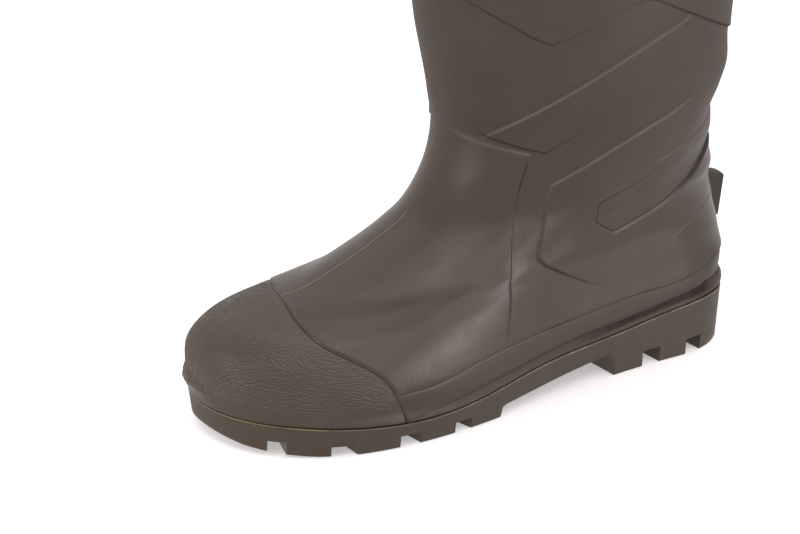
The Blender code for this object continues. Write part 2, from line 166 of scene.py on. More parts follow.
TABLE = np.array(SECTIONS)
COL = {name: i for i, name in enumerate(COLUMNS)}
LEVEL = np.concatenate(([0.0], np.cumsum(
    0.5 * np.hypot(np.diff(TABLE[:, 0]), np.diff(TABLE[:, 1]))
    + 0.5 * np.hypot(np.diff(TABLE[:, 2]), np.diff(TABLE[:, 3])))))
TABLE_SLOPE = slopes(LEVEL, TABLE)
TOP = LEVEL[-1]
SAG_END = LEVEL[6]
SEAT_Y, SEAT_Z = np.array(SEAT).T
SEAT_SLOPE = slopes(SEAT_Y, SEAT_Z)
LEDGE_Y, LEDGE_Z = np.array(LEDGE).T
LEDGE_SLOPE = slopes(LEDGE_Y, LEDGE_Z)
UNDER_Y, UNDER_Z = np.array(UNDERSIDE).T
CAP_A, CAP_L = np.array(CAP_EDGE).T
BAND_A, BAND_L = np.array(BAND_TOP).T
FOOT_A, FOOT_L = np.array(BAND_FOOT).T
BAND_SLOPE, FOOT_SLOPE = slopes(BAND_A, BAND_L), slopes(FOOT_A, FOOT_L)


def sag(y):
    return curve(SEAT_Y, SEAT_Z, SEAT_SLOPE, y)


def droop(y):
    return (TOE_DROOP * ease((y - TOE_FROM) / (TOE_TO - TOE_FROM))
            + HEEL_DROOP * ease((y - HEEL_FROM) / (HEEL_TO - HEEL_FROM)))


def seat(y):
    """Height of the feather line along the foot."""
    return sag(y) - droop(y)


def ledge(y):
    return curve(LEDGE_Y, LEDGE_Z, LEDGE_SLOPE, y)


def half_width(share, outer, c, margin=0.0):
    fore = np.where(outer, c["fore_out"], c["fore_in"]) + margin
    rear = np.where(outer, c["rear_out"], c["rear_in"]) + margin
    hollow = np.where(outer, c["waist_out"], c["waist_in"])
    a, b = c["fore_at"], np.maximum(c["rear_at"], c["fore_at"] + 0.001)
    mid = np.clip((share - a) / (b - a), 0.0, 1.0)
    w = fore + (rear - fore) * ease(mid) - hollow * np.sin(pi * mid) ** 2
    f = np.clip(1 - share / a, 0.0, 1.0)
    r = np.clip((share - b) / (1 - b), 0.0, 1.0)
    return (w * (1 - f ** c["round_front"]) ** (1 / c["round_front"])
            * (1 - r ** c["round_back"]) ** (1 / c["round_back"]))


def swing(share, skew):
    return skew * (1 - share) ** 2.2


def form(angle, level):
    """Point of the outer surface: angle 0 at the toe, pi/2 outer side, pi heel."""
    angle, level = np.broadcast_arrays(np.asarray(angle, float), np.asarray(level, float))
    row = curve(LEVEL, TABLE, TABLE_SLOPE, level)
    c = {name: row[..., i] for name, i in COL.items()}
    share = 0.5 * (1 - np.cos(angle))
    x = (half_width(share, np.sin(angle) >= 0, c) * np.sign(np.sin(angle))
         + swing(share, c["skew"]))
    y = c["front_y"] + (c["back_y"] - c["front_y"]) * share
    z = c["front_z"] + (c["back_z"] - c["front_z"]) * share
    first = TABLE[0, COL["front_z"]] + (TABLE[0, COL["back_z"]] - TABLE[0, COL["front_z"]]) * share
    z = z + (sag(y) - first) * (1 - ease(level / SAG_END))
    z = z - droop(y) * (1 - ease(level / DROOP_END))
    return np.stack([x, y, z], axis=-1)


def outward(angle, level):
    level = np.asarray(level, float)
    along = form(angle + 0.001, level) - form(angle - 0.001, level)
    up = form(angle, np.minimum(level + 0.2, TOP)) - form(angle, np.maximum(level - 0.2, 0.0))
    n = np.cross(along, up)
    return n / np.linalg.norm(n, axis=-1, keepdims=True)


def level_normal(angle, level):
    """Normal that lies flat at the feather line and the collar."""
    n = outward(angle, level)
    flat = ease(np.asarray(level) / 16.0) * ease((TOP - np.asarray(level)) / 20.0)
    n[..., 2] *= flat
    return n / np.linalg.norm(n, axis=-1, keepdims=True)


def lifted(angle, level, lift):
    return form(angle, level) + level_normal(angle, level) * np.asarray(lift)[..., None]


def band_top(degrees_round):
    return curve(BAND_A, BAND_L, BAND_SLOPE, np.abs(degrees_round))


def band_foot(degrees_round):
    return curve(FOOT_A, FOOT_L, FOOT_SLOPE, np.abs(degrees_round))


def heelness(degrees_round):
    """0 along the sides, 1 round the heel."""
    return ease((np.abs(degrees_round) - 126.0) / 32.0)


def place(p):
    return (np.asarray(p, float) - np.array([0.0, MIDDLE_Y, 0.0])) * MM


# ------------------------------------------------------------------- noise
def hashed(i, j, k, seed):
    """Repeatable value from 0 to 1 for each cell of a lattice."""
    n = (i.astype(np.int64) * 73856093 ^ j.astype(np.int64) * 19349663
         ^ k.astype(np.int64) * 83492791 ^ seed * 2654435761) & 0xFFFFFFFF
    n = ((n ^ (n >> 15)) * 2246822519) & 0xFFFFFFFF
    n = ((n ^ (n >> 13)) * 3266489917) & 0xFFFFFFFF
    n = n ^ (n >> 16)
    return n / 4294967295.0


def noise(p, size, seed=1):
    """Smooth noise, -1 to 1, with lumps about two sizes apart."""
    q = np.asarray(p, float) / size
    base = np.floor(q).astype(np.int64)
    f = q - base
    f = f * f * f * (f * (f * 6 - 15) + 10)
    out = 0.0
    for a in (0, 1):
        for b in (0, 1):
            for c in (0, 1):
                w = (np.where(a, f[..., 0], 1 - f[..., 0]) * np.where(b, f[..., 1], 1 - f[..., 1])
                     * np.where(c, f[..., 2], 1 - f[..., 2]))
                out = out + w * hashed(base[..., 0] + a, base[..., 1] + b, base[..., 2] + c, seed)
    return 2 * out - 1


# ------------------------------------------------------------ mesh building
def link(name, points, faces, finish, smooth=True, sharp=None, turn_out=True):
    """Mesh piece from points in millimetres."""
    mesh = bpy.data.meshes.new(name)
    mesh.from_pydata(place(points).tolist(), [], faces)
    if turn_out:
        bm = bmesh.new()
        bm.from_mesh(mesh)
        bmesh.ops.recalc_face_normals(bm, faces=bm.faces)
        bm.to_mesh(mesh)
        bm.free()
    if smooth:
        mesh.shade_smooth()
        if sharp is not None:
            mesh.set_sharp_from_angle(angle=radians(sharp))
    obj = bpy.data.objects.new(name, mesh)
    scene.collection.objects.link(obj)
    if finish is not None:
        mesh.materials.append(finish)
    return obj


def attribute(obj, name, values):
    a = obj.data.attributes.new(name, "FLOAT", "POINT")
    a.data.foreach_set("value", np.asarray(values, np.float32).ravel())


def grid_faces(rows, cols, closed=False, first=0, flip=False):
    r, c = np.meshgrid(np.arange(rows - 1), np.arange(cols if closed else cols - 1), indexing="ij")
    d = (c + 1) % cols
    q = np.stack([r * cols + c, r * cols + d, (r + 1) * cols + d, (r + 1) * cols + c], -1)
    q = q.reshape(-1, 4) + first
    return (q[:, ::-1] if flip else q).tolist()


def shell(name, outer, inner, finish, sharp=None, closed=False):
    """Closed piece between two grids of the same shape."""
    rows, cols, _ = outer.shape
    half = rows * cols
    points = np.concatenate([outer.reshape(-1, 3), inner.reshape(-1, 3)])
    faces = grid_faces(rows, cols, closed) + grid_faces(rows, cols, closed, half, True)
    if closed:
        for c in range(cols):
            d = (c + 1) % cols
            last = (rows - 1) * cols
            faces.append([d, c, half + c, half + d])
            faces.append([last + c, last + d, half + last + d, half + last + c])
    else:
        rim = (list(range(cols)) + [r * cols + cols - 1 for r in range(1, rows)]
               + [(rows - 1) * cols + c for c in range(cols - 2, -1, -1)]
               + [r * cols for r in range(rows - 2, 0, -1)])
        for a, b in zip(rim, rim[1:] + rim[:1]):
            faces.append([b, a, half + a, half + b])
    return link(name, points, faces, finish, True, sharp)


def lined(name, outer, inner, step, finish):
    """Closed piece with a close outer grid and an inner one of every step-th point."""
    rows, cols, _ = outer.shape
    inner = inner[::step, ::step]
    few, short, _ = inner.shape
    half = rows * cols
    faces = grid_faces(rows, cols) + grid_faces(few, short, False, half, True)
    for c in range(short - 1):
        low = [c * step + t for t in range(step + 1)]
        faces.append(low[::-1] + [half + c, half + c + 1])
        high, last = [(rows - 1) * cols + v for v in low], half + (few - 1) * short
        faces.append(high + [last + c + 1, last + c])
    for r in range(few - 1):
        side = [(r * step + t) * cols for t in range(step + 1)]
        faces.append(side + [half + (r + 1) * short, half + r * short])
        other = [v + cols - 1 for v in side]
        faces.append(other[::-1] + [half + r * short + short - 1, half + (r + 1) * short + short - 1])
    return link(name, np.concatenate([outer.reshape(-1, 3), inner.reshape(-1, 3)]), faces, finish)


def rim_level(degrees_round):
    """Level on the upper just over the outsole's rim."""
    y = form(np.radians(degrees_round), 0.0)[..., 1]
    return np.maximum(ledge(y) - seat(y), 0.0) + 0.12


# ------------------------------------------------------------ mould lines
# Each line is a list of runs; a run is a smooth row of (angle, level, strength).
# raised: +1 the side to the left of travel stands up, -1 the side to the right,
# seen from outside.  rise is the height of the step, edge its width and reach
# how far it takes to die away, in millimetres.
VAMP_TOP = ((0.0, 150.8, 0.0), (2.9, 150.2, 0.05), (8.0, 149.3, 0.8), (12.7, 148.3, 1.0),
            (20.9, 146.8, 1.0), (30.5, 145.0, 1.0), (38.5, 143.4, 1.0), (46.6, 141.7, 1.0))
VAMP_TOP_INNER = ((0.0, 150.8, 0.0), (8.0, 149.3, 0.0), (20.9, 146.8, 0.0), (30.5, 145.0, 0.5),
                  (38.5, 143.4, 1.0), (46.6, 141.7, 1.0))
VAMP_REAR = ((46.6, 141.7, 0.7), (47.1, 135.4, 0.35), (49.0, 126.4, 0.25), (54.0, 115.1, 0.22),
             (60.2, 101.7, 0.24), (70.8, 78.0, 0.28), (81.2, 49.3, 0.30), (84.7, 31.5, 0.26),
             (85.1, 23.9, 0.14), (84.8, 19.3, 0.06), (84.7, 17.0, 0.0))
BAR_TOP = ((24.6, 149.2, 0.3), (30.0, 152.6, 1.0), (37.5, 157.4, 1.0), (48.5, 165.3, 1.0),
           (62.7, 176.3, 1.0), (75.4, 186.0, 1.0), (88.8, 195.4, 1.0), (102.9, 203.6, 1.0),
           (104.5, 204.6, 0.4))
HEX_LOW = ((23.0, 150.2, 0.3), (28.0, 148.8, 0.9), (34.7, 147.0, 0.9), (43.8, 144.4, 1.0),
           (52.2, 142.4, 1.0))
HEX_RISE = ((52.2, 142.4, 0.85), (56.9, 146.2, 0.6), (61.7, 150.5, 0.4), (66.6, 155.0, 0.2),
            (75.1, 162.3, 0.10), (84.1, 169.2, 0.08), (94.3, 175.6, 0.10), (104.2, 179.0, 0.18))
HEX_END = ((104.2, 179.0, 0.18), (108.5, 173.3, 0.25), (110.0, 166.1, 0.30), (109.6, 160.5, 0.6))
LOW_BAR_TOP = ((109.6, 160.5, 0.8), (101.3, 155.5, 1.0), (92.1, 150.3, 1.0), (83.1, 144.1, 1.0),
               (74.5, 137.3, 1.0), (66.9, 131.2, 1.0), (60.8, 126.4, 1.0))
LOW_BAR_LEFT = ((60.8, 126.4, 0.75), (63.6, 118.0, 0.55), (66.4, 111.2, 0.5), (74.1, 91.7, 0.6),
                (80.4, 73.3, 0.9))
LOW_BAR_FOOT = ((80.4, 73.3, 0.9), (88.7, 58.2, 1.0), (95.0, 47.5, 0.95), (99.8, 39.8, 0.8),
                (106.0, 31.0, 0.35), (109.5, 27.0, 0.0))
HEEL_RISE = ((110.5, 25.2, 0.0), (116.3, 28.3, 0.15), (122.0, 33.0, 0.22), (128.0, 40.6, 0.35),
             (135.0, 50.0, 0.75), (143.2, 59.5, 1.0), (152.0, 66.5, 1.0), (162.0, 71.5, 0.9),
             (170.0, 73.5, 0.2))
SLOT_TOP = ((106.5, 126.6, 0.0), (102.4, 121.0, 0.45), (97.0, 115.6, 0.5), (91.5, 111.9, 0.5),
            (86.5, 108.8, 0.7))
SLOT_LEFT = ((86.5, 108.8, 0.9), (89.1, 100.2, 1.0), (92.3, 90.6, 1.0))
SLOT_FOOT = ((92.3, 90.6, 1.0), (98.6, 80.9, 1.0), (104.9, 71.7, 1.0))
SLOT_LOW = ((104.9, 71.7, 0.9), (109.8, 75.8, 0.9), (114.9, 81.3, 0.9), (119.5, 88.0, 1.0),
            (125.0, 96.8, 1.2), (133.1, 107.0, 1.4), (145.0, 117.0, 1.5), (160.0, 123.0, 1.4),
            (180.0, 125.5, 1.2))
BACK_RISE = ((101.5, 126.2, 0.0), (104.5, 128.2, 0.6), (110.0, 131.0, 0.8), (116.4, 133.7, 0.8),
             (124.2, 136.8, 0.9), (134.2, 140.4, 1.0), (150.0, 144.4, 1.0), (165.0, 146.6, 0.9),
             (180.0, 147.4, 0.9))
PANEL_FRONT = ((0.0, 226.5, 0.5), (10.0, 221.6, 0.5), (20.4, 215.8, 0.55), (28.0, 211.4, 0.65),
               (37.2, 205.7, 0.8), (45.9, 199.4, 0.8), (51.7, 196.6, 0.7))
PANEL_RISE = ((51.7, 196.6, 0.6), (55.2, 198.3, 0.35), (63.0, 203.2, 0.22), (71.5, 208.6, 0.18),
              (80.0, 213.6, 0.18), (85.0, 216.0, 0.3))
PANEL_BACK = ((85.0, 216.0, 0.3), (88.1, 214.8, 0.6), (96.3, 210.0, 0.8), (106.5, 204.2, 0.95),
              (118.0, 198.2, 1.1), (131.0, 192.8, 1.2), (143.9, 188.8, 1.2), (160.0, 185.4, 1.2),
              (180.0, 184.0, 1.2))


def mirrored(runs):
    return [tuple((-a, l, s) for a, l, s in run) for run in runs]


def over_front(runs):
    """A line of the outer side joined at the toe's middle to its mirror image."""
    return [run[::-1] for run in mirrored(runs)[::-1]] + list(runs)


def round_back(runs):
    """A line of the outer side joined at the heel's middle to its mirror image."""
    other = [tuple((360.0 - a, l, s) for a, l, s in run)[::-1] for run in runs[::-1]]
    return list(runs) + other


VAMP_RUNS = ([run[::-1] for run in mirrored([VAMP_TOP_INNER, VAMP_REAR])[::-1]]
             + [VAMP_TOP, VAMP_REAR])
CHANNEL_RUNS = [HEX_LOW, HEX_RISE, HEX_END, LOW_BAR_TOP, LOW_BAR_LEFT, LOW_BAR_FOOT]
SLOT_RUNS = [SLOT_TOP, SLOT_LEFT, SLOT_FOOT, SLOT_LOW]
# foot sets the painted shade (with some grime) at each step's foot, pale scales a line's painted highlight or shade,
# dark_below paints shade along the vamp line below that level and dark_behind along the slot line beyond that angle
LINES = (
    {"runs": VAMP_RUNS, "raised": -1, "rise": 1.10, "edge": 1.5, "reach": 17.0, "foot": 0.0,
     "dark_below": 138.5},
    {"runs": [BAR_TOP], "raised": -1, "rise": 1.10, "edge": 1.4, "reach": 10.0, "foot": 0.10},
    {"runs": mirrored([BAR_TOP]), "raised": 1, "rise": 1.10, "edge": 1.4, "reach": 10.0, "foot": 0.10},
    {"runs": CHANNEL_RUNS, "raised": 1, "rise": 1.05, "edge": 1.1, "reach": 11.0, "foot": 0.10},
    {"runs": mirrored(CHANNEL_RUNS), "raised": -1, "rise": 1.05, "edge": 1.1, "reach": 11.0, "foot": 0.10},
    {"runs": [HEEL_RISE], "raised": -1, "rise": 0.26, "edge": 1.5, "reach": 12.0, "foot": 0.0,
     "pale": 0.6},
    {"runs": mirrored([HEEL_RISE]), "raised": 1, "rise": 0.26, "edge": 1.5, "reach": 12.0, "foot": 0.0,
     "pale": 0.6},
    {"runs": round_back(SLOT_RUNS), "raised": -1, "rise": 1.05, "edge": 1.2, "reach": 11.0, "foot": 1.0,
     "dark_behind": 117.0},
    {"runs": round_back([BACK_RISE]), "raised": -1, "rise": 0.55, "edge": 1.4, "reach": 9.0, "foot": 0.15},
    {"runs": over_front([PANEL_FRONT, PANEL_RISE, PANEL_BACK]), "raised": 1, "rise": 1.05,
     "edge": 1.3, "reach": 16.0, "foot": 0.10},
)


def run_points(run, step=0.6):
    """A smooth curve through a run: angle, level, strength at close steps."""
    p = np.array(run, float)
    xyz = form(np.radians(p[:, 0]), p[:, 1])
    s = np.concatenate(([0.0], np.cumsum(np.linalg.norm(np.diff(xyz, axis=0), axis=1))))
    at = np.linspace(0.0, s[-1], max(int(s[-1] / step), 2) + 1)
    q = curve(s, p, slopes(s, p), at) if len(p) > 2 else np.stack(
        [np.interp(at, s, p[:, i]) for i in range(3)], -1)
    q[:, 2] = np.interp(at, s, p[:, 2])
    return q


def line_points(runs):
    q = np.concatenate([run_points(r)[(1 if i else 0):] for i, r in enumerate(runs)])
    xyz = form(np.radians(q[:, 0]), q[:, 1])
    xyz[1:-1] = 0.25 * xyz[:-2] + 0.5 * xyz[1:-1] + 0.25 * xyz[2:]
    return xyz, q[:, 2]


def line_distance(points, normals, xyz, strength, near):
    """Signed distance from a line (left of travel positive), its strength there and the way left."""
    d = np.full(len(points), 1e3)
    s = np.zeros(len(points))
    left = np.zeros((len(points), 3))
    low, high = xyz.min(0) - near, xyz.max(0) + near
    pick = np.nonzero(((points > low) & (points < high)).all(1))[0]
    a, b = xyz[:-1], xyz[1:]
    ab = b - a
    ll = np.maximum((ab * ab).sum(1), 1e-9)
    for i in range(0, len(pick), 4000):
        k = pick[i:i + 4000]
        ap = points[k, None, :] - a[None]
        t = np.clip((ap * ab).sum(-1) / ll, 0.0, 1.0)
        r = ap - t[..., None] * ab
        dist = np.sqrt((r * r).sum(-1))
        j = dist.argmin(1)
        rows = np.arange(len(k))
        way = np.cross(normals[k], ab[j])
        side = (way * r[rows, j]).sum(1)
        d[k] = np.where(side >= 0, 1.0, -1.0) * dist[rows, j]
        s[k] = strength[j] + (strength[j + 1] - strength[j]) * t[rows, j]
        left[k] = way / np.maximum(np.linalg.norm(way, axis=1, keepdims=True), 1e-9)
    return d, s, left


# the way the painted light on the mould lines comes from
LIGHT_EDGES = np.array([0.0, -0.38, 0.925])
LINE_PATHS = [line_points(line["runs"]) for line in LINES]
CAP_PATH = line_points([tuple((a, l, 1.0) for a, l in CAP_EDGE)])
CREASE_PATH = line_points([tuple((a, float(band_top(min(a, 360.0 - a))), 1.0)
                                 for a in np.arange(139.0, 222.0, 3.0))])


def near_lines(points):
    """Least distance from each point to any mould line, for the mesh's density."""
    best = np.full(len(points), 1e3)
    for xyz, strength in LINE_PATHS + [CAP_PATH, CREASE_PATH]:
        xyz = xyz[strength > 0.02][::2]
        low, high = xyz.min(0) - 12, xyz.max(0) + 12
        pick = np.nonzero(((points > low) & (points < high)).all(1))[0]
        for i in range(0, len(pick), 4000):
            k = pick[i:i + 4000]
            d2 = ((points[k, None, :] - xyz[None]) ** 2).sum(-1).min(1)
            best[k] = np.minimum(best[k], np.sqrt(d2))
    return best


def relief(angle, level, points, normals):
    """Height of the moulded surface over the plain form, and the painted light and shade of its edges.

    The second result holds, for each point, the broad tone (painted shade by the heel's crease), the distance from the
    nearest edge, that edge's tone and the darkening at its foot.  Edges that face the light, up or to the front, get a
    painted highlight (above 0), those that face away, down or to the back, get painted shade (below 0); the darkening
    at a step's foot is painted shade with some grime.
    """
    deg = np.degrees(angle)
    h = np.zeros(len(points))
    tone = np.zeros(len(points))
    edge_d, edge_t, edge_f = np.full(len(points), 6.0), np.zeros(len(points)), np.zeros(len(points))
    for line, (xyz, strength) in zip(LINES, LINE_PATHS):
        d, s, left = line_distance(points, normals, xyz, strength, 45.0)
        d = d * line["raised"]
        half = line["edge"] / 2
        step = np.sin(0.5 * pi * np.clip(d / half, -1.0, 1.0))
        fall = np.exp(-np.maximum(np.abs(d) - half, 0.0) / line["reach"])
        h += 0.5 * line["rise"] * s * step * fall
        # painted highlight on edges that face the light, painted shade on those that face away
        looks = -line["raised"] * (left @ LIGHT_EDGES) * line.get("pale", 1.0)
        if "dark_below" in line:
            looks = np.where(level < line["dark_below"], -3.8, looks)
        if "dark_behind" in line:
            looks = looks * (1 - 1.8 * ease((np.abs(deg) - line["dark_behind"]) / 10.0))
        nearer = (np.abs(d) < np.abs(edge_d)) & (s > 0.02)
        edge_d[nearer] = d[nearer]
        edge_t[nearer] = np.clip(np.minimum(s, 1.1) * looks, -1.0, 1.0)[nearer]
        edge_f[nearer] = line["foot"] * np.minimum(s, 1.1)[nearer]
    # the vamp's rounded front edge over the toe cap, and the recess below the cap; the edge gets a painted highlight on
    # its crest and painted shade at its foot
    d, _, _ = line_distance(points, normals, *CAP_PATH, 400.0)
    inside = (np.abs(deg) < 66.0) & (level < 66.0)
    d = np.where(inside, d, 1e3)
    edge = np.clip((d + 0.7) / 1.3, 0.0, 1.0)
    h += (0.55 * np.exp(-np.maximum(d - 0.8, 0.0) / 13.0) + 1.35) * np.sin(0.5 * pi * edge) - 1.35
    nearer = np.abs(d) < np.abs(edge_d)
    edge_d[nearer], edge_t[nearer], edge_f[nearer] = d[nearer], 0.30, 0.9
    # counter swelling over the band at the heel, and the recess behind the band; the tone is painted shade over the
    # band's top edge and in the crease under the swelling
    top = band_top(deg)
    heel = heelness(deg)
    above = level - top
    swell = 0.5 * np.exp(-np.maximum(above - 5.0, 0.0) / 15.0) * ease((above + 0.5) / 4.0)
    h += heel * swell
    tone -= 0.35 * heel * np.exp(-((above - 1.0) / 2.2) ** 2)
    h += 0.45 * heel * np.exp(-(above / 6.0) ** 2)
    crease = ease((np.abs(deg) - 139.0) / 12.0)
    h += 1.35 * crease * ease((above + 0.3) / 0.8) * np.exp(-np.maximum(above - 0.6, 0.0) / 4.5)
    tone -= 1.0 * crease * np.exp(-((above + 0.1) / 1.0) ** 2)
    h -= 0.75 * ease((-0.5 - above) / 1.2) * (np.abs(deg) > 57.0) * ease((d - 0.0) / 1.0)
    # hollow over the back step, and the fuller back under it
    rear = ease((np.abs(deg) - 116.0) / 26.0)
    h += rear * (1.6 * np.exp(-((level - 100.0) / 8.0) ** 2) - 0.5 * np.exp(-((level - 122.0) / 6.0) ** 2)
                 - 2.1 * np.exp(-((level - 146.0) / 9.0) ** 2) + 1.4 * np.exp(-((level - 172.0) / 9.0) ** 2)
                 + 1.1 * np.exp(-((level - 238.0) / 30.0) ** 2))
    # fuller side of the vamp before its rear line
    h += 1.0 * np.exp(-0.5 * (((np.abs(deg) - 66.0) / 13.0) ** 2 + ((level - 86.0) / 24.0) ** 2))
    # slight unevenness of the moulding
    h += 0.05 * noise(points, 26.0, 5) + 0.02 * noise(points, 9.0, 6)
    painted_shading = {"tone": np.clip(tone, -1.0, 1.0), "edge_d": edge_d, "edge_t": edge_t, "edge_f": edge_f}
    return h, painted_shading


# ---------------------------------------------------------------- materials
def new_material(name):
    m = bpy.data.materials.new(name)
    m.use_nodes = True
    m.node_tree.nodes.clear()
    nodes, links = m.node_tree.nodes, m.node_tree.links
    out = nodes.new("ShaderNodeOutputMaterial")
    bsdf = nodes.new("ShaderNodeBsdfPrincipled")
    links.new(bsdf.outputs[0], out.inputs[0])
    return m, nodes, links, bsdf


def scaled_coords(nodes, links, scale):
    where = nodes.new("ShaderNodeTexCoord")
    to = nodes.new("ShaderNodeMapping")
    to.inputs["Scale"].default_value = scale
    links.new(where.outputs["Object"], to.inputs["Vector"])
    return to.outputs["Vector"]


def noise_node(nodes, links, vector, scale, detail=3.0, rough=0.5):
    n = nodes.new("ShaderNodeTexNoise")
    n.inputs["Scale"].default_value = scale
    n.inputs["Detail"].default_value = detail
    n.inputs["Roughness"].default_value = rough
    links.new(vector, n.inputs["Vector"])
    return n.outputs["Fac"]


def remap(nodes, links, value, low, high, to_low, to_high):
    r = nodes.new("ShaderNodeMapRange")
    r.inputs["From Min"].default_value = low
    r.inputs["From Max"].default_value = high
    r.inputs["To Min"].default_value = to_low
    r.inputs["To Max"].default_value = to_high
    links.new(value, r.inputs["Value"])
    return r.outputs["Result"]


def two_colours(nodes, links, value, a, b):
    m = nodes.new("ShaderNodeMix")
    m.data_type = "RGBA"
    m.inputs["A"].default_value = (*a, 1.0)
    m.inputs["B"].default_value = (*b, 1.0)
    links.new(value, m.inputs["Factor"])
    return m.outputs["Result"]


def bump(nodes, links, height, distance, strength=1.0, under=None):
    b = nodes.new("ShaderNodeBump")
    b.inputs["Strength"].default_value = strength
    b.inputs["Distance"].default_value = distance
    links.new(height, b.inputs["Height"])
    if under is not None:
        links.new(under, b.inputs["Normal"])
    return b.outputs["Normal"]


def toned(nodes, links, colour, where, pale_colour, dark_colour):
    """Colour carried towards a paler or a darker one by the mesh's tone, and the darkening amount; on the upper, toe
    cap and band the tone is painted highlight and painted shade.
    """
    tone = nodes.new("ShaderNodeAttribute")
    tone.attribute_name = "tone"
    patchy = remap(nodes, links, noise_node(nodes, links, where, 75.0, 4.0, 0.6), 0.32, 0.62, 0.55, 1.0)
    for low, high, other in ((0.05, 1.0, pale_colour), (-0.05, -1.0, dark_colour)):
        amount = nodes.new("ShaderNodeMath")
        amount.operation = "MULTIPLY"
        links.new(remap(nodes, links, tone.outputs["Fac"], low, high, 0.0, 1.0), amount.inputs[0])
        links.new(patchy, amount.inputs[1])
        m = nodes.new("ShaderNodeMix")
        m.data_type = "RGBA"
        m.inputs["B"].default_value = (*other, 1.0)
        links.new(colour, m.inputs["A"])
        links.new(amount.outputs[0], m.inputs["Factor"])
        colour = m.outputs["Result"]
    return colour, amount.outputs[0]


def sums(nodes, links, operation, a, b):
    m = nodes.new("ShaderNodeMath")
    m.operation = operation
    for value, socket in ((a, m.inputs[0]), (b, m.inputs[1])):
        if isinstance(value, (int, float)):
            socket.default_value = value
        else:
            links.new(value, socket)
    return m.outputs[0]


def edged(nodes, links, colour, where, pale_colour, dark_colour):
    """Painted highlights on mould-line edges that face the light and painted shade on those that face away and at the
    steps' feet (painted shade with some grime); gives colour and the shade amount.
    """
    read = {}
    for name in ("edge_d", "edge_t", "edge_f"):
        a = nodes.new("ShaderNodeAttribute")
        a.attribute_name = name
        read[name] = a.outputs["Fac"]
    patchy = remap(nodes, links, noise_node(nodes, links, where, 60.0, 4.0, 0.6), 0.32, 0.62, 0.6, 1.0)

    def strip(centre, half):
        off = sums(nodes, links, "ABSOLUTE", sums(nodes, links, "SUBTRACT", read["edge_d"], centre), 0.0)
        out = remap(nodes, links, off, 0.0, half, 1.0, 0.0)
        out.node.interpolation_type = "SMOOTHSTEP"
        return out

    def part(attribute_name, sign):
        return remap(nodes, links, read[attribute_name], 0.0, sign, 0.0, 1.0)

    # painted highlight along the crests of edges that face the light; glint is a painted highlight for negative edge_f
    crest = sums(nodes, links, "MULTIPLY", strip(0.15, 1.05), part("edge_t", 1.0))
    glint = sums(nodes, links, "MULTIPLY", strip(-0.85, 0.6), part("edge_f", -1.0))
    pale = sums(nodes, links, "MULTIPLY", sums(nodes, links, "ADD", crest, glint), patchy)
    # painted shade on edges that face away from the light, and at the feet of steps (painted shade with some grime)
    face = sums(nodes, links, "MULTIPLY", strip(0.0, 0.90), part("edge_t", -1.0))
    foot = sums(nodes, links, "MULTIPLY", strip(-0.70, 0.72), part("edge_f", 1.0))
    shade_amount = sums(nodes, links, "MULTIPLY", sums(nodes, links, "ADD", face, foot), patchy)
    for amount, other in ((pale, pale_colour), (shade_amount, dark_colour)):
        m = nodes.new("ShaderNodeMix")
        m.data_type = "RGBA"
        m.inputs["B"].default_value = (*other, 1.0)
        links.new(colour, m.inputs["A"])
        links.new(amount, m.inputs["Factor"])
        colour = m.outputs["Result"]
    return colour, shade_amount


def moulded_pvc(name, dark, light, rough_low, rough_high, grain, streak, specular=0.30, tone_colours=None,
                edges=None, shaft=None):
    """Satin moulded PVC: slight mottling, drawn streaks, fine tooth; duller up the shaft."""
    m, nodes, links, bsdf = new_material(name)
    where = scaled_coords(nodes, links, (1.0, 1.0, 1.0))
    mottle = noise_node(nodes, links, where, 32.0, 5.0, 0.55)
    colour = two_colours(nodes, links, remap(nodes, links, mottle, 0.3, 0.7, 0.0, 1.0), dark, light)
    cloud = noise_node(nodes, links, where, 120.0, 4.0, 0.6)
    rough = remap(nodes, links, cloud, 0.3, 0.7, rough_low, rough_high)
    # tone mixes in painted highlight and painted shade from the mesh's tone attribute
    if tone_colours:
        colour, shade_amount = toned(nodes, links, colour, where, *tone_colours)
        rough = sums(nodes, links, "ADD", rough, sums(nodes, links, "MULTIPLY", shade_amount, 0.35))
    # edges adds painted highlights and painted shade along the mould lines
    if edges:
        colour, shade_amount = edged(nodes, links, colour, where, *edges)
        rough = sums(nodes, links, "ADD", rough, sums(nodes, links, "MULTIPLY", shade_amount, 0.35))
    if shaft:
        split = nodes.new("ShaderNodeSeparateXYZ")
        links.new(where, split.inputs[0])
        rough = sums(nodes, links, "ADD", rough, remap(nodes, links, split.outputs["Z"], 0.100, 0.150, 0.0, shaft))
    links.new(colour, bsdf.inputs["Base Color"])
    links.new(rough, bsdf.inputs["Roughness"])
    drawn = scaled_coords(nodes, links, (1.0, 1.0, 0.055))
    normal = bump(nodes, links, noise_node(nodes, links, drawn, 620.0, 2.0, 0.5), 0.00002 * streak)
    normal = bump(nodes, links, noise_node(nodes, links, where, 1500.0, 2.0, 0.5), 0.00002 * grain, 1.0, normal)
    links.new(normal, bsdf.inputs["Normal"])
    bsdf.inputs["Specular IOR Level"].default_value = specular
    return m


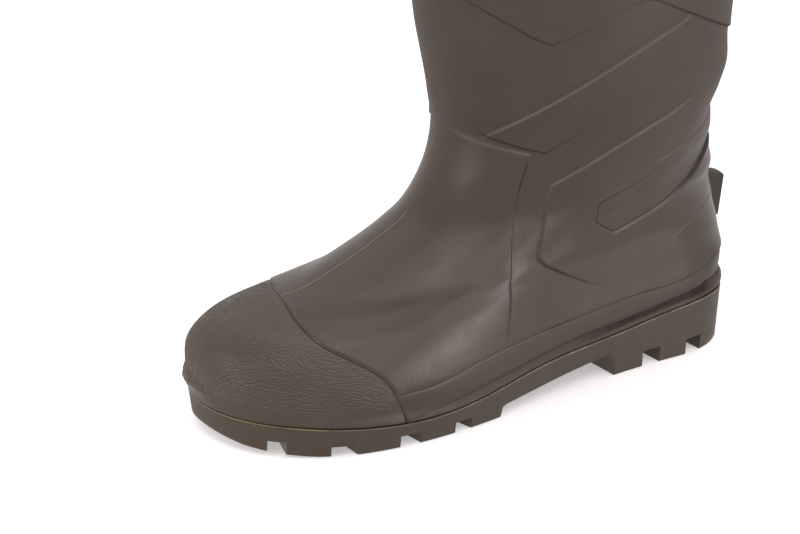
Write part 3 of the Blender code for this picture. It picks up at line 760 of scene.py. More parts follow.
def knitted(name, dark, light, size):
    """Close knitted lining cloth."""
    m, nodes, links, bsdf = new_material(name)
    where = scaled_coords(nodes, links, (1.0, 1.0, 1.0))
    rib = nodes.new("ShaderNodeTexWave")
    rib.wave_type = "BANDS"
    rib.bands_direction = "Z"
    rib.inputs["Scale"].default_value = size
    rib.inputs["Distortion"].default_value = 1.5
    rib.inputs["Detail"].default_value = 2.0
    rib.inputs["Detail Scale"].default_value = 2.0
    links.new(where, rib.inputs["Vector"])
    fuzz = noise_node(nodes, links, where, size * 6.0, 4.0, 0.6)
    mixed = nodes.new("ShaderNodeMath")
    mixed.operation = "MULTIPLY"
    links.new(rib.outputs["Fac"], mixed.inputs[0])
    links.new(fuzz, mixed.inputs[1])
    colour = two_colours(nodes, links, remap(nodes, links, mixed.outputs[0], 0.05, 0.6, 0.0, 1.0), dark, light)
    links.new(colour, bsdf.inputs["Base Color"])
    bsdf.inputs["Roughness"].default_value = 0.92
    bsdf.inputs["Specular IOR Level"].default_value = 0.2
    bsdf.inputs["Sheen Weight"].default_value = 0.25
    bsdf.inputs["Sheen Roughness"].default_value = 0.5
    links.new(bump(nodes, links, mixed.outputs[0], 0.0005), bsdf.inputs["Normal"])
    return m


UPPER_DARK, UPPER_LIGHT = (0.0440, 0.0320, 0.0222), (0.0495, 0.0363, 0.0257)
# pale colour for painted highlights, dark colour for painted shade (with some grime at the feet of steps)
HIGHLIGHT_PALE, SHADE_AND_GRIME_DARK = (0.092, 0.069, 0.052), (0.0145, 0.0058, 0.0014)
HIGHLIGHT_AND_SHADE = (HIGHLIGHT_PALE, SHADE_AND_GRIME_DARK)
pvc = moulded_pvc("upper_pvc", UPPER_DARK, UPPER_LIGHT, 0.28, 0.34, 1.0, 2.4, 0.30, HIGHLIGHT_AND_SHADE, HIGHLIGHT_AND_SHADE, 0.27)
cap_pvc = moulded_pvc("toe_cap_pvc", (0.047, 0.0340, 0.0236), (0.057, 0.0415, 0.0293), 0.34, 0.44, 1.2, 0.0, 0.34, HIGHLIGHT_AND_SHADE)
band_pvc = moulded_pvc("foxing_pvc", UPPER_DARK, UPPER_LIGHT, 0.42, 0.50, 1.0, 0.4, 0.28, HIGHLIGHT_AND_SHADE)
# the lug's colour is darker than the upper's as painted shade, for the heel's shadow over it
lug_pvc_shade_darkened = moulded_pvc("kick_off_pvc", (0.027, 0.0186, 0.0118), (0.031, 0.0216, 0.0140), 0.50, 0.60, 1.0, 0.2)
# the sole's colour is lighter than the upper's as a painted reflection of the floor, which is hidden from gloss rays
sole_pvc_lightened = moulded_pvc("outsole_pvc", (0.049, 0.0354, 0.0246), (0.057, 0.0414, 0.0290), 0.45, 0.56, 1.8, 0.5, 0.28)
flash_pvc = moulded_pvc("sole_flash_pvc", (0.130, 0.096, 0.052), (0.220, 0.165, 0.092), 0.45, 0.6, 1.0, 0.0, 0.3,
                        ((0.34, 0.30, 0.25), (0.06, 0.042, 0.028)))
seam_pvc = moulded_pvc("mould_seam_pvc", (0.130, 0.108, 0.090), (0.190, 0.160, 0.135), 0.36, 0.46, 1.0, 0.0)
lining_cloth = knitted("lining_cloth", (0.060, 0.055, 0.050), (0.170, 0.155, 0.140), 260.0)
insole_cloth = knitted("insole_cloth", (0.075, 0.066, 0.058), (0.200, 0.180, 0.160), 300.0)


# ------------------------------------------------------------------- upper
def spread_angles(count):
    """Angles round the boot, closer together on the long sides of the foot."""
    t = np.linspace(-pi, pi, 4001)
    weight = 1.0 + 0.75 * np.sin(t) ** 2
    s = np.concatenate(([0.0], np.cumsum(0.5 * (weight[1:] + weight[:-1]) * np.diff(t))))
    return np.interp(np.linspace(0.0, s[-1], count + 1), s, t)


def make_upper(cols=240, rows=128, fine=4):
    """Outer skin, denser along its mould lines, round collar and inner wall, closed."""
    base_a = spread_angles(cols)
    base_l = np.concatenate([np.linspace(0.0, 226.0, 103, endpoint=False),
                             np.linspace(226.0, TOP, rows - 103 + 1)])
    rows = len(base_l) - 1
    lat_a = np.interp(np.arange(cols * fine) / fine, np.arange(cols + 1), base_a)
    lat_l = np.interp(np.arange(rows * fine + 1) / fine, np.arange(rows + 1), base_l)
    n_a, n_l = len(lat_a), len(lat_l)
    # how close each cell's middle is to a line sets its division
    mid_a = 0.5 * (base_a[1:] + base_a[:-1])
    mid_l = 0.5 * (base_l[1:] + base_l[:-1])
    ca, cl = np.meshgrid(mid_a, mid_l)
    size = np.linalg.norm(form(ca + 0.01, cl) - form(ca - 0.01, cl), axis=-1) / 0.02 * (2 * pi / cols)
    dist = near_lines(form(ca, cl).reshape(-1, 3)).reshape(ca.shape)
    grow = 0.35 * size
    split = np.where(dist < 1.4 + grow, 4, np.where(dist < 3.4 + grow, 2, 1))
    split[:1], split[-1:] = 1, 1
    used = np.zeros((n_l, n_a), bool)
    leaves = []
    for r in range(rows):
        for c in range(cols):
            k = split[r, c]
            s = fine // k
            for i in range(k):
                for j in range(k):
                    leaves.append((r * fine + i * s, c * fine + j * s, s))
    leaves = np.array(leaves)
    for di in (0, 1):
        for dj in (0, 1):
            used[leaves[:, 0] + di * leaves[:, 2], (leaves[:, 1] + dj * leaves[:, 2]) % n_a] = True
    index = np.full((n_l, n_a), -1, int)
    at = np.argwhere(used)
    index[used] = np.arange(len(at))
    faces = []
    for i, j, s in leaves:
        low = [index[i, (j + t) % n_a] for t in range(s + 1)]
        right = [index[i + t, (j + s) % n_a] for t in range(1, s + 1)]
        high = [index[i + s, (j + t) % n_a] for t in range(s - 1, -1, -1)]
        left = [index[i + t, j % n_a] for t in range(s - 1, 0, -1)]
        faces.append([int(v) for v in low + right + high + left if v >= 0])
    ang, lev = lat_a[at[:, 1]], lat_l[at[:, 0]]
    p = form(ang, lev)
    n = outward(ang, lev)
    flat = level_normal(ang, lev)
    h, painted_shading = relief(ang, lev, p, n)
    h *= 1 - ease((lev - (TOP - 8.0)) / 8.0)
    outer = p + flat * h[:, None]
    # collar turned over in a half round, then the inner wall down to the feather line
    col_a = lat_a[::fine]
    rim = []
    for turn in np.linspace(0.0, pi, 9)[1:-1]:
        q = lifted(col_a, np.full(cols, TOP), np.full(cols, -WALL / 2 * (1 - cos(turn))))
        q[:, 2] += -0.0 + 0.0 * sin(turn)
        rim.append(q)
    first = len(outer)
    down = np.linspace(TOP, 0.0, 26)
    inner = [lifted(col_a, np.full(cols, l), np.full(cols, -WALL)) for l in down]
    points = np.concatenate([outer] + rim + inner)
    top_ring = [int(index[-1, c * fine]) for c in range(cols)]
    low_ring = [int(index[0, c * fine]) for c in range(cols)]
    rings = [top_ring] + [[first + k * cols + c for c in range(cols)] for k in range(len(rim) + len(inner))]
    rings.append(low_ring)
    for a, b in zip(rings, rings[1:]):
        for c in range(cols):
            d = (c + 1) % cols
            faces.append([a[c], a[d], b[d], b[c]])
    obj = link("boot_upper", points, faces, pvc)
    for name, values in painted_shading.items():
        rest = np.full(len(points) - len(outer), 6.0 if name == "edge_d" else 0.0)
        attribute(obj, name, np.concatenate([values, rest]))
    return obj


upper = make_upper()


# ----------------------------------------------------------------- toe cap
def cap_top(degrees_round):
    return curve(CAP_A[1:-1], CAP_L[1:-1], slopes(CAP_A[1:-1], CAP_L[1:-1]), degrees_round)


def strokes(p, way, cross, fine, apart, length, seed):
    """Short dashes of even spacing on a grid of points; way runs along them, cross between them."""
    rows, cols, _ = p.shape
    gi, gj = np.meshgrid(np.arange(rows, dtype=float), np.arange(cols, dtype=float), indexing="ij")

    def read(field, i, j):
        i = np.clip(i, 0, rows - 1.001)
        j = np.clip(j, 0, cols - 1.001)
        a, b = i.astype(int), j.astype(int)
        u, v = i - a, j - b
        if field.ndim == 3:
            u, v = u[..., None], v[..., None]
        return ((1 - u) * (1 - v) * field[a, b] + (1 - u) * v * field[a, b + 1]
                + u * (1 - v) * field[a + 1, b] + u * v * field[a + 1, b + 1])

    def spaced(i, j):
        """Noise less its neighbours to both sides, which leaves lines a set way apart."""
        di, dj = 0.5 * apart * read(cross[0], i, j), 0.5 * apart * read(cross[1], i, j)
        return (noise(read(p, i, j), fine, seed) - 0.5 * noise(read(p, i + di, j + dj), fine, seed)
                - 0.5 * noise(read(p, i - di, j - dj), fine, seed))

    total = spaced(gi, gj)
    step = 0.3
    for sign in (1, -1):
        i, j = gi.copy(), gj.copy()
        for k in range(int(length / step)):
            i, j = i + sign * step * read(way[0], i, j), j + sign * step * read(way[1], i, j)
            total = total + (1 - (k + 1) * step / (length + step)) * spaced(i, j)
    return total


def make_toe_cap(cols=521, rows=185):
    """Grained cap over the toe, smooth along its foot, tucked under the vamp's edge."""
    deg = np.linspace(CAP_A[1], CAP_A[-2], cols)
    top = cap_top(deg)
    share = np.linspace(0.0, 1.0, rows)[:, None]
    foot = rim_level(deg)[None]
    lev = foot + (top[None] - foot) * share
    ang = np.broadcast_to(np.radians(deg)[None], lev.shape)
    p = form(ang, lev)
    n = level_normal(ang, lev)
    # grid steps in millimetres, for the grain's direction
    gi, gj = np.gradient(p, axis=0), np.gradient(p, axis=1)
    turn = np.cross(n, gj / np.linalg.norm(gj, axis=-1, keepdims=True))
    side = np.sign(deg)[None] * np.ones_like(lev)
    out = np.abs(deg)[None] * np.ones_like(lev)
    lean = (8.0 + 74.0 * (1 - ease((out - 6.0) / 17.0)) * (1 - ease((lev - 30.0) / 8.0))
            + 60.0 * ease((lev - 30.0) / 9.0) * (1 - ease((out - 28.0) / 16.0)))
    lean = lean * np.where(side > 0, 1.0, -1.0)
    lean = lean + 9.0 * noise(p, 13.0, 21) + 9.0 * noise(p, 4.0, 22)
    lean = np.radians(lean)
    flat_way = gj / np.linalg.norm(gj, axis=-1, keepdims=True)
    g11, g12, g22 = (gi * gi).sum(-1), (gi * gj).sum(-1), (gj * gj).sum(-1)
    det = np.maximum(g11 * g22 - g12 * g12, 1e-9)

    def grid_way(d):
        """Steps on the grid that go one millimetre along a direction."""
        b1, b2 = (d * gi).sum(-1), (d * gj).sum(-1)
        return (np.clip((b1 * g22 - b2 * g12) / det, -8, 8), np.clip((b2 * g11 - b1 * g12) / det, -8, 8))

    way = grid_way(np.cos(lean)[..., None] * flat_way + np.sin(lean)[..., None] * turn)
    cross = grid_way(np.cos(lean)[..., None] * turn - np.sin(lean)[..., None] * flat_way)
    g = strokes(p, way, cross, 0.52, 1.25, 1.0, 31)
    g = g / g.std()
    g = np.tanh(1.1 * g)
    # distance to the vamp's edge and height over the sole's edge
    flat_p, flat_n = p.reshape(-1, 3), outward(ang, lev).reshape(-1, 3)
    dist, _, _ = line_distance(flat_p, flat_n, *CAP_PATH, 400.0)
    dist = np.abs(dist).reshape(lev.shape)
    over = lev - foot
    low_edge = 4.2 + 1.4 * noise(p, 9.0, 41)
    shown = ease((over - low_edge) / 4.0) * ease((dist - 0.6) / 1.6)
    shown = shown * (0.86 + 0.30 * noise(p, 15.0, 43))
    lift = 0.10 - 0.45 * (1 - ease(dist / 1.0)) + (0.085 + 0.05 * (1 - ease((out - 18.0) / 20.0))) * g * shown
    # foot flared out to the sole, with an uneven lip low on the tip of the toe
    tip = (1 - ease((np.abs(deg + 11.0) - 6.0) / 18.0))[None]
    lip = np.exp(-((over - 5.6) / np.where(over < 5.6, 2.0, 2.8)) ** 2)
    lift = lift + (1.85 + 0.35 * tip) * (1 - ease(over / (6.5 + 4.0 * tip)))
    lift = lift + tip * lip * (1.9 + 0.5 * noise(p, 2.6, 45))
    lift = lift - 0.2 * (1 - ease(over / 0.5))
    # faint mould line over the middle
    line = p[..., 0] - form(np.radians(0.0), lev)[..., 0]
    ridge = np.exp(-(line / 0.42) ** 2) * ease((over - 24.0) / 9.0)
    lift = lift + 0.22 * ridge
    outer = p + n * lift[..., None]
    outer[0, :, 2] = np.minimum(outer[0, :, 2], ledge(outer[0, :, 1]) - 0.35)
    obj = lined("toe_cap_grained", outer, p - n * 1.05, 8, cap_pvc)
    # tone: painted highlights on the grain's tops and painted shade in its valleys, paler along the mould line over the
    # middle, painted shade in the groove under the vamp's edge and along the foot by the sole
    tone = np.clip(np.where(g > 0, 0.85, 0.34) * g * shown + 0.8 * ridge - 0.7 * (1 - ease(dist / 0.9))
                   - 0.40 * (1 - ease(over / 0.8)), -1.0, 1.0).ravel()
    attribute(obj, "tone", np.concatenate([tone, np.zeros(len(obj.data.vertices) - len(tone))]))
    return obj


cap = make_toe_cap()


# ------------------------------------------------------------- foxing band
def make_band():
    """Band round the foot from one end of the toe cap to the other, with the cove under it."""
    first, last = 59.75, 360.0 - 61.75
    deg = np.concatenate([np.linspace(first, 62.0, 14, endpoint=False),
                          np.linspace(62.0, last - 2.25, 570, endpoint=False),
                          np.linspace(last - 2.25, last, 14)])
    signed = np.where(deg > 180.0, deg - 360.0, deg)
    top, low = band_top(signed), rim_level(signed)
    foot = np.maximum(band_foot(signed), low + 0.45)
    back = ease((np.abs(signed) - 143.0) / 12.0)
    front = 1 - ease((np.abs(signed) - 61.0) / 15.0)
    hollow = ease((np.abs(signed) - 98.0) / 20.0) * (1 - back)
    end = np.minimum(deg - first, last - deg)
    sink = 0.5 * (1 - ease(end / 0.6))
    # the band's colour is darker at both ends
    darker_at_ends = -0.5 * (1 - ease(end / 0.5))
    lev, lift, tone = [low], [0.4 - sink], [darker_at_ends - 0.25]
    # cove between the sole's rim and the band's lower edge, deepest before the heel; its tone is painted shade in the
    # cove and along the rim
    for t in (0.0, 0.06, 0.12, 0.20, 0.30, 0.42, 0.56, 0.70, 0.82, 0.92, 1.0):
        over = (foot - low) * t
        depth = (2.30 + 1.3 * hollow) * (1 - 0.85 * front)
        lev.append(low + over)
        bead = np.interp(t, [0.0, 0.2, 0.45, 0.7, 0.88, 1.0], [2.2, 2.9, 3.2, 2.8, 1.7, 0.6])
        side = 1.95 - depth * t ** 1.25
        lift.append(side * (1 - back) + bead * back - 0.2 * (1 - ease(over / 0.5)) - sink)
        tone.append(darker_at_ends - (0.2 + 0.8 * hollow) * ease((t - 0.10) / 0.30) * (1 - back) * (1 - front)
                    - 0.7 * back * ease((t - 0.78) / 0.2) - 0.2 * (1 - ease(over / 0.7)))
    # the band's face and its upper edge, rounded over into the upper; its tone is a painted highlight along the upper
    # edge and painted shade along its foot before the heel
    rows = ((0.02, 0.35), (0.05, 0.68), (0.10, 0.84), (0.18, 0.92), (0.30, 0.95), (0.45, 0.95),
            (0.60, 0.94), (0.72, 0.90), (0.82, 0.83), (0.89, 0.72), (0.935, 0.58), (0.965, 0.40),
            (0.985, 0.22), (1.0, 0.05), (1.012, -0.35), (1.012, -1.30))
    for s, l in rows:
        at = foot + (top - foot) * s
        lev.append(at)
        if l > 0:
            rear = 0.6 + 0.7 * s
            flare = 0.4 * min(l / 0.4, 1.0) + 1.55 * (1 - ease((at - low) / 6.5))
            side = l * (1 - back) + rear * back
            lift.append(side * (1 - front) + flare * front - sink)
        else:
            lift.append(l + 0.0 * top)
        pale = 0.35 + 0.6 * (1 - ease((np.abs(signed) - 78.0) / 40.0))
        tone.append(darker_at_ends + (1 - back) * pale * np.exp(-((s - 0.955) / 0.035) ** 2)
                    - 0.55 * hollow * (1 - ease(s / 0.06)) + 0.0 * top)
    lev, lift, tone = np.array(lev), np.array(lift), np.clip(np.array(tone), -1.0, 1.0)
    # both ends follow the toe cap's edge
    outer_end = (np.interp(lev, [0.0, 8.0, 14.0], [59.9, 59.5, 58.6]) - 59.9) * (1 - ease((deg - first) / 6.0))
    inner_end = (61.9 - np.interp(lev, [0.0, 8.0, 14.0], [61.9, 61.5, 60.3])) * (1 - ease((last - deg) / 6.0))
    ang = np.radians(deg[None] + outer_end + inner_end)
    outer = lifted(ang, lev, lift)
    outer[:2, :, 2] = np.minimum(outer[:2, :, 2], ledge(outer[:2, :, 1]) - 0.35)
    inner = lifted(ang, lev, np.full(lev.shape, -1.5))
    obj = shell("foxing_band_moulded", outer, inner, band_pvc, 50)
    attribute(obj, "tone", np.concatenate([tone.ravel(), np.zeros(tone.size)]))
    return obj


band = make_band()


# ------------------------------------------------------------- mould seam
def make_seam():
    """Thin raised line left by the mould up the middle of the vamp."""
    lev = np.linspace(60.0, 121.0, 150)
    deg = np.interp(lev, [60.0, 75.0, 86.0, 101.0, 113.0, 121.0], [-0.3, 0.3, -0.4, -0.9, -1.0, -1.0])
    ang = np.radians(deg)
    p, n = form(ang, lev), outward(ang, lev)
    t = np.gradient(p, axis=0)
    t /= np.linalg.norm(t, axis=1, keepdims=True)
    b = np.cross(n, t)
    tall = 0.34 * ease((lev - 60.0) / 3.0) * (1 - ease((lev - 97.0) / 22.0)) * (1 + 0.35 * noise(p, 5.0, 61))
    base, _ = relief(ang, lev, p, n)
    profile = ((-0.42, -0.25), (-0.30, 0.0), (-0.14, 0.75), (0.0, 1.0), (0.14, 0.75), (0.30, 0.0), (0.42, -0.25))
    outer = np.stack([p + b * w + n * (base + np.where(k > 0, k * tall, k * 0.6) - 0.02)[:, None]
                      for w, k in profile])
    inner = np.stack([p + b * w + n * (base - 0.45)[:, None] for w, k in profile])
    return shell("mould_seam", outer, inner, seam_pvc)


seam = make_seam()


# ------------------------------------------------------------ kick-off lug
def make_lug():
    """Rounded block at the back of the heel, flat on top."""
    width, low, high = 17.0, 27.0, 74.5
    face_low, face_high, draft = 5.4, 8.0, 0.86
    lev = np.linspace(low, high, 24)
    side = np.linspace(-1.0, 1.0, 17)
    reach = np.linspace(0.0, 0.9, 400)
    root = np.empty((len(lev), len(side), 3))
    for r, l in enumerate(lev):
        x_at = form(pi - reach, np.full(reach.shape, l))[:, 0]
        a = np.interp(np.abs(side) * width / 2, x_at, reach)
        root[r] = lifted(pi - np.sign(side) * a, np.full(len(side), l), np.full(len(side), -0.8))
    back = root.copy()
    back[..., 0] *= draft
    rise = np.linspace(0.0, 1.0, len(lev))[:, None]
    back[..., 1] = face_low + (face_high - face_low) * rise
    mid = len(side) // 2
    back[..., 2] = root[0, mid, 2] + 1.5 + (root[-1, mid, 2] - 5.7 - root[0, mid, 2]) * rise
    crown = 1.5 * rise ** 8 * (1 - side ** 2)[None]
    back[..., 2] += crown
    root[..., 2] += crown
    rows, cols, _ = root.shape
    points = np.concatenate([back.reshape(-1, 3), root.reshape(-1, 3)])
    half = rows * cols
    faces = grid_faces(rows, cols) + grid_faces(rows, cols, False, half, True)
    rim = (list(range(cols)) + [r * cols + cols - 1 for r in range(1, rows)]
           + [(rows - 1) * cols + c for c in range(cols - 2, -1, -1)]
           + [r * cols for r in range(rows - 2, 0, -1)])
    for a, b in zip(rim, rim[1:] + rim[:1]):
        faces.append([b, a, half + a, half + b])
    obj = link("kick_off_block", points, faces, lug_pvc_shade_darkened, True, 35)
    bm = bmesh.new()
    bm.from_mesh(obj.data)
    edges = [e for e in bm.edges if e.is_manifold and e.calc_face_angle() > radians(40)]
    bmesh.ops.bevel(bm, geom=edges, offset=0.0007, segments=3, profile=0.5, affect="EDGES",
                    clamp_overlap=True)
    bm.to_mesh(obj.data)
    bm.free()
    obj.data.shade_smooth()
    obj.data.set_sharp_from_angle(angle=radians(50))
    return obj


lug = make_lug()


# ------------------------------------------------------------------- soles
def foot_ring(turn, margin):
    """Points of the sole's outline, moved out by a margin."""
    c = {name: TABLE[0, i] for name, i in COL.items()}
    front, back = c["front_y"] - margin, c["back_y"] + margin
    share = 0.5 * (1 - np.cos(turn))
    y = front + (back - front) * share
    x = swing(share, c["skew"]) + np.sign(np.sin(turn)) * half_width(share, np.sin(turn) >= 0, c, margin)
    return x, y


def turns(count, marks=(), margin=0.1):
    """Angles along one side of the sole from toe to heel, marks included."""
    front, back = TABLE[0, COL["front_y"]] - margin, TABLE[0, COL["back_y"]] + margin
    t = np.linspace(0.0, pi, count)
    extra = [np.arccos(1 - 2 * (y - front) / (back - front)) for y in marks if front < y < back]
    keep = [v for v in t if all(abs(v - e) > 0.004 for e in extra) or v in (0.0, pi)]
    return np.unique(np.concatenate([keep, extra]))


def slab(name, profile, half_turns, finish, sharp, across=10):
    """Closed foot-shaped slab: profile gives (margin, height function) from top to bottom."""
    t = np.concatenate([half_turns, 2 * pi - half_turns[1:-1][::-1]])
    n, m = len(t), len(half_turns)
    rings = []
    for margin, height in profile:
        x, y = foot_ring(t, margin)
        rings.append(np.stack([x, y, height(y)], -1))
    points = [np.concatenate(rings)]
    faces = grid_faces(len(rings), n, True)
    count = len(rings) * n
    for ring, flip in ((0, False), (len(rings) - 1, True)):
        # rows of points from the outer to the inner side, at each place along the foot
        r = rings[ring]
        rows = [[ring * n]]
        for k in range(1, m - 1):
            a, b = ring * n + k, ring * n + n - k
            s = np.linspace(0.0, 1.0, across + 1)[1:-1, None]
            pts = r[k] + (r[n - k] - r[k]) * s
            points.append(pts)
            rows.append([a] + list(range(count, count + across - 1)) + [b])
            count += across - 1
        rows.append([ring * n + m - 1])
        for a, b in zip(rows, rows[1:]):
            if len(a) == 1:
                quads = [[a[0], b[i + 1], b[i]] for i in range(len(b) - 1)]
            elif len(b) == 1:
                quads = [[a[i], a[i + 1], b[0]] for i in range(len(a) - 1)]
            else:
                quads = [[a[i], a[i + 1], b[i + 1], b[i]] for i in range(len(a) - 1)]
            faces += [q[::-1] for q in quads] if flip else quads
    return link(name, np.concatenate(points), faces, finish, True, sharp)


def under(y):
    return np.interp(y, UNDER_Y, UNDER_Z)


def make_outsole():
    """Lugged sole with a beaded upper edge, drafted sides and channels."""
    def floor_of_groove(y):
        return np.minimum(seat(y), ledge(y)) - 0.25

    side = [(-7.0, lambda y: seat(y) - 0.6), (-1.8, lambda y: seat(y) - 0.6),
            (0.9, floor_of_groove), (1.75, floor_of_groove),
            (1.92, lambda y: ledge(y) - 0.25), (2.02, lambda y: ledge(y) - 0.04),
            (2.35, lambda y: ledge(y) + 0.03), (2.62, lambda y: ledge(y) - 0.05),
            (2.78, lambda y: ledge(y) - 0.25), (2.82, lambda y: ledge(y) - 0.7)]
    for s in np.linspace(0.0, 1.0, 8)[1:]:
        side.append((2.82 - 1.12 * s,
                     lambda y, s=s: (ledge(y) - 0.7) * (1 - s) + (under(y) + 0.7) * s))
    side += [(1.55, lambda y: under(y) + 0.25), (1.2, lambda y: under(y) + 0.04),
             (0.7, lambda y: under(y))]
    marks = [y for y in UNDER_Y if -299 < y < -2]
    body = slab("outsole_lugged", side, turns(230, marks), None, None, 8)
    for k, (edge_y, width, roof, sweep) in enumerate(CHANNELS):
        half, far = width / 2, 80.0
        slope = tan(radians(sweep))
        mid_y = edge_y + CHANNEL_EDGE_X * slope
        spine = [(-far, mid_y - far * slope), (0.0, mid_y), (far, mid_y - far * slope)]
        ring = [(x, y - half) for x, y in spine] + [(x, y + half) for x, y in spine[::-1]]
        pts = [(x, y, -6.0) for x, y in ring] + [(x, y, roof) for x, y in ring]
        n = len(ring)
        faces = [list(range(n))[::-1], list(range(n, 2 * n))]
        faces += [[i, (i + 1) % n, n + (i + 1) % n, n + i] for i in range(n)]
        cutter = link("cutter_%d" % k, np.array(pts), faces, None, False)
        cut = body.modifiers.new("channel_%d" % k, "BOOLEAN")
        cut.operation, cut.solver, cut.object = "DIFFERENCE", "EXACT", cutter
    bpy.context.view_layer.update()
    done = bpy.data.meshes.new_from_object(body.evaluated_get(bpy.context.evaluated_depsgraph_get()))
    body.modifiers.clear()
    body.data = done
    for o in [o for o in scene.objects if o.name.startswith("cutter_")]:
        bpy.data.objects.remove(o, do_unlink=True)
    done.materials.clear()
    done.materials.append(sole_pvc_lightened)
    done.shade_smooth()
    done.set_sharp_from_angle(angle=radians(32))
    return body


outsole = make_outsole()


def make_flash():
    """Thin pale line of moulding flash along the sole's outer upper edge; its paleness is partly a painted highlight on
    the edge.
    """
    half = turns(420)
    t = np.concatenate([half, 2 * pi - half[1:-1][::-1]])
    x0, y0 = foot_ring(t, 2.7)
    p = np.stack([x0, y0, ledge(y0)], -1)
    uneven = noise(p, 1.6, 71) * 0.6 + noise(p, 7.0, 72) * 0.6
    full = np.interp(y0, [-302.0, -268.0, -246.0, -205.0, -175.0, -130.0, -70.0, 3.0],
                     [0.30, 0.28, 0.17, 0.17, 0.26, 0.26, 0.17, 0.15])
    wide = np.clip(full * (1.0 + 0.75 * uneven), 0.05, 0.6)
    rings = []
    for margin, z in ((2.40, -0.7), (2.83, -1.0), (2.90, -0.2), (2.80, 0.6), (2.40, 0.8)):
        x, y = foot_ring(t, margin)
        rings.append(np.stack([x, y, ledge(y) - 0.22 + z * wide], -1))
    rings.append(rings[0])
    pts = np.concatenate(rings[:-1])
    n, k = len(t), len(rings) - 1
    faces = []
    for r in range(k):
        for c in range(n):
            d = (c + 1) % n
            s = (r + 1) % k
            faces.append([r * n + c, r * n + d, s * n + d, s * n + c])
    obj = link("sole_flash_line", pts, faces, flash_pvc)
    # the line is darker at the toe and paler towards the heel, unevenly
    pale = np.interp(y0, [-262.0, -235.0, -200.0, -170.0, -100.0, -60.0], [-0.2, 0.1, 0.1, 0.0, 0.35, 0.8])
    attribute(obj, "tone", np.tile(np.clip(pale + 0.35 * noise(p, 3.5, 73), -1.0, 1.0), k))
    return obj


flash = make_flash()


def make_insole():
    """Foot bed with a soft rounded edge."""
    gap, thick = 0.3, 4.0
    inset = -(WALL + 0.6)
    rows = [(inset - 1.6, thick), (inset - 0.9, thick - 0.15), (inset - 0.35, thick - 0.5),
            (inset, thick - 1.2), (inset, 1.0), (inset - 0.3, gap)]
    profile = [(m, lambda y, h=h: seat(y) + h) for m, h in rows]
    return slab("insole_cloth_bed", profile, turns(150), insole_cloth, 50, 12)


insole = make_insole()


def make_lining(cols=150, rows=120):
    """Knitted lining against the inside of the wall."""
    ang = np.linspace(-pi, pi, cols, endpoint=False)
    lev = np.linspace(4.0, TOP - 3.0, rows)
    a, l = np.meshgrid(ang, lev)
    return shell("lining_knit", lifted(a, l, np.full(a.shape, -WALL - 0.05)),
                 lifted(a, l, np.full(a.shape, -WALL - 0.55)), lining_cloth, None, True)


lining = make_lining()

# ------------------------------------------------------- riding and replacing
for piece, node, slot in ((upper, "upper", "upper_pvc"), (cap, "toe_cap", "toe_cap_pvc"),
                          (band, "foxing_band", "foxing_pvc"), (lug, "kick_off_lug", "kick_off_pvc"),
                          (outsole, "outsole", "outsole_pvc"), (insole, "insole", "insole_cloth"),
                          (seam, None, "upper_pvc"), (flash, None, "outsole_pvc"),
                          (lining, None, "insole_cloth")):
    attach(piece, "root")
    if node:
        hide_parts(node)

# ------------------------------------------------------------ floor and light
floor_mesh = bpy.data.meshes.new("floor")
floor_mesh.from_pydata([(-8, -8, -0.0002), (8, -8, -0.0002), (8, 8, -0.0002), (-8, 8, -0.0002)], [], [[0, 1, 2, 3]])
floor = bpy.data.objects.new("floor", floor_mesh)
scene.collection.objects.link(floor)
white, nodes, links, bsdf = new_material("floor_white")
paper = noise_node(nodes, links, scaled_coords(nodes, links, (1.0, 1.0, 1.0)), 40.0, 2.0, 0.5)
links.new(two_colours(nodes, links, paper, (0.93, 0.93, 0.93), (0.95, 0.95, 0.95)), bsdf.inputs["Base Color"])
bsdf.inputs["Roughness"].default_value = 0.7
bsdf.inputs["Specular IOR Level"].default_value = 0.2
bsdf.inputs["Emission Color"].default_value = (1.0, 0.985, 0.995, 1.0)
bsdf.inputs["Emission Strength"].default_value = 0.38
floor_mesh.materials.append(white)
floor.visible_glossy = False
floor.visible_shadow = False
floor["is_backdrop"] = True

world = bpy.data.worlds.new("studio")
world.use_nodes = True
world.node_tree.nodes["Background"].inputs["Color"].default_value = (1.0, 0.945, 0.94, 1.0)
world.node_tree.nodes["Background"].inputs["Strength"].default_value = 0.945
scene.world = world


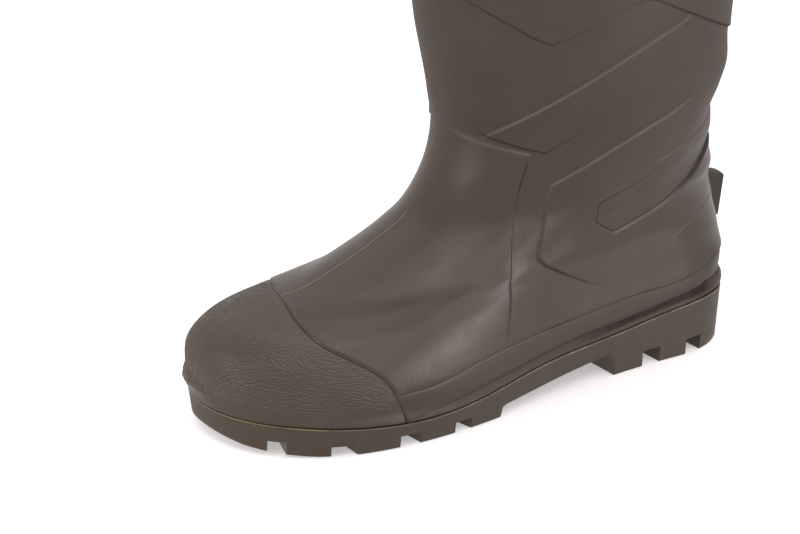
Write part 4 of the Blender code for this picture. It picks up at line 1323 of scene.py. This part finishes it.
def softbox(name, azimuth, elevation, distance, wide, high, power, aim=(0.0, 0.0, 0.10), gloss=False, roll=0.0):
    """Area light placed round the boot; azimuth 0 is in front of the toe, 90 the outer side.

    One for gloss alone shows in the satin surface without filling in its shades.
    """
    lamp = bpy.data.lights.new(name, "AREA")
    lamp.shape = "RECTANGLE"
    lamp.size, lamp.size_y = wide, high
    lamp.energy = power
    lamp.color = (1.0, 0.95, 0.91) if gloss else (1.0, 1.0, 1.0)
    a, e = radians(azimuth), radians(elevation)
    o = bpy.data.objects.new(name, lamp)
    way = Vector((sin(a) * cos(e), -cos(a) * cos(e), sin(e)))
    o.location = Vector(aim) + way * distance
    o.rotation_mode = "QUATERNION"
    o.rotation_quaternion = (-way).to_track_quat("-Z", "Y") @ Quaternion((0.0, 0.0, 1.0), radians(roll))
    o.visible_diffuse = not gloss
    scene.collection.objects.link(o)
    return o


softbox("key", 84.0, 52.0, 2.2, 0.9, 0.9, 6.5)
softbox("front", 6.0, 12.0, 1.8, 0.9, 0.6, 7.0)
softbox("low_side", 120.5, -2.5, 1.3, 0.66, 0.15, 4.2, (0.04, 0.01, 0.05), True, -22.0)
softbox("side_glow", 127.0, 27.0, 1.3, 0.32, 0.80, 3.8, (0.04, 0.01, 0.06), True)
softbox("front_glow", 95.0, 26.0, 1.3, 0.50, 0.75, 3.0, (0.04, 0.01, 0.06), True)
softbox("top_glow", 60.0, 79.0, 1.4, 0.70, 1.35, 5.8, (0.04, 0.01, 0.06), True)
softbox("low_tail", 136.0, -24.0, 1.3, 0.20, 0.22, 0.5, (0.04, 0.01, 0.05), True)
softbox("far", -70.0, 60.0, 2.4, 1.8, 1.4, 6.5)

# ------------------------------------------------------------------- camera
az, el = radians(58.0), radians(20.3)
right = Vector((cos(az), sin(az), 0.0))
back = Vector((sin(az) * cos(el), -cos(az) * cos(el), sin(el)))
up = back.cross(right)
lens = bpy.data.cameras.new("camera")
lens.sensor_fit = "HORIZONTAL"
lens.sensor_width = 36.0
lens.lens = 81.0
lens.clip_start, lens.clip_end = 0.05, 60.0
camera = bpy.data.objects.new("camera", lens)
camera.matrix_world = Matrix((
    (right.x, up.x, back.x, 0.70062), (right.y, up.y, back.y, -0.48376),
    (right.z, up.z, back.z, 0.37193), (0.0, 0.0, 0.0, 1.0)))
scene.collection.objects.link(camera)
scene.camera = camera
scene.view_settings.view_transform = "Standard"
scene.view_settings.look = "None"
scene.view_settings.exposure = 0.0
scene.view_settings.gamma = 1.0

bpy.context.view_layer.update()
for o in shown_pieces():
    print("PIECE", o.name, sum(len(q.vertices) - 2 for q in o.data.polygons))
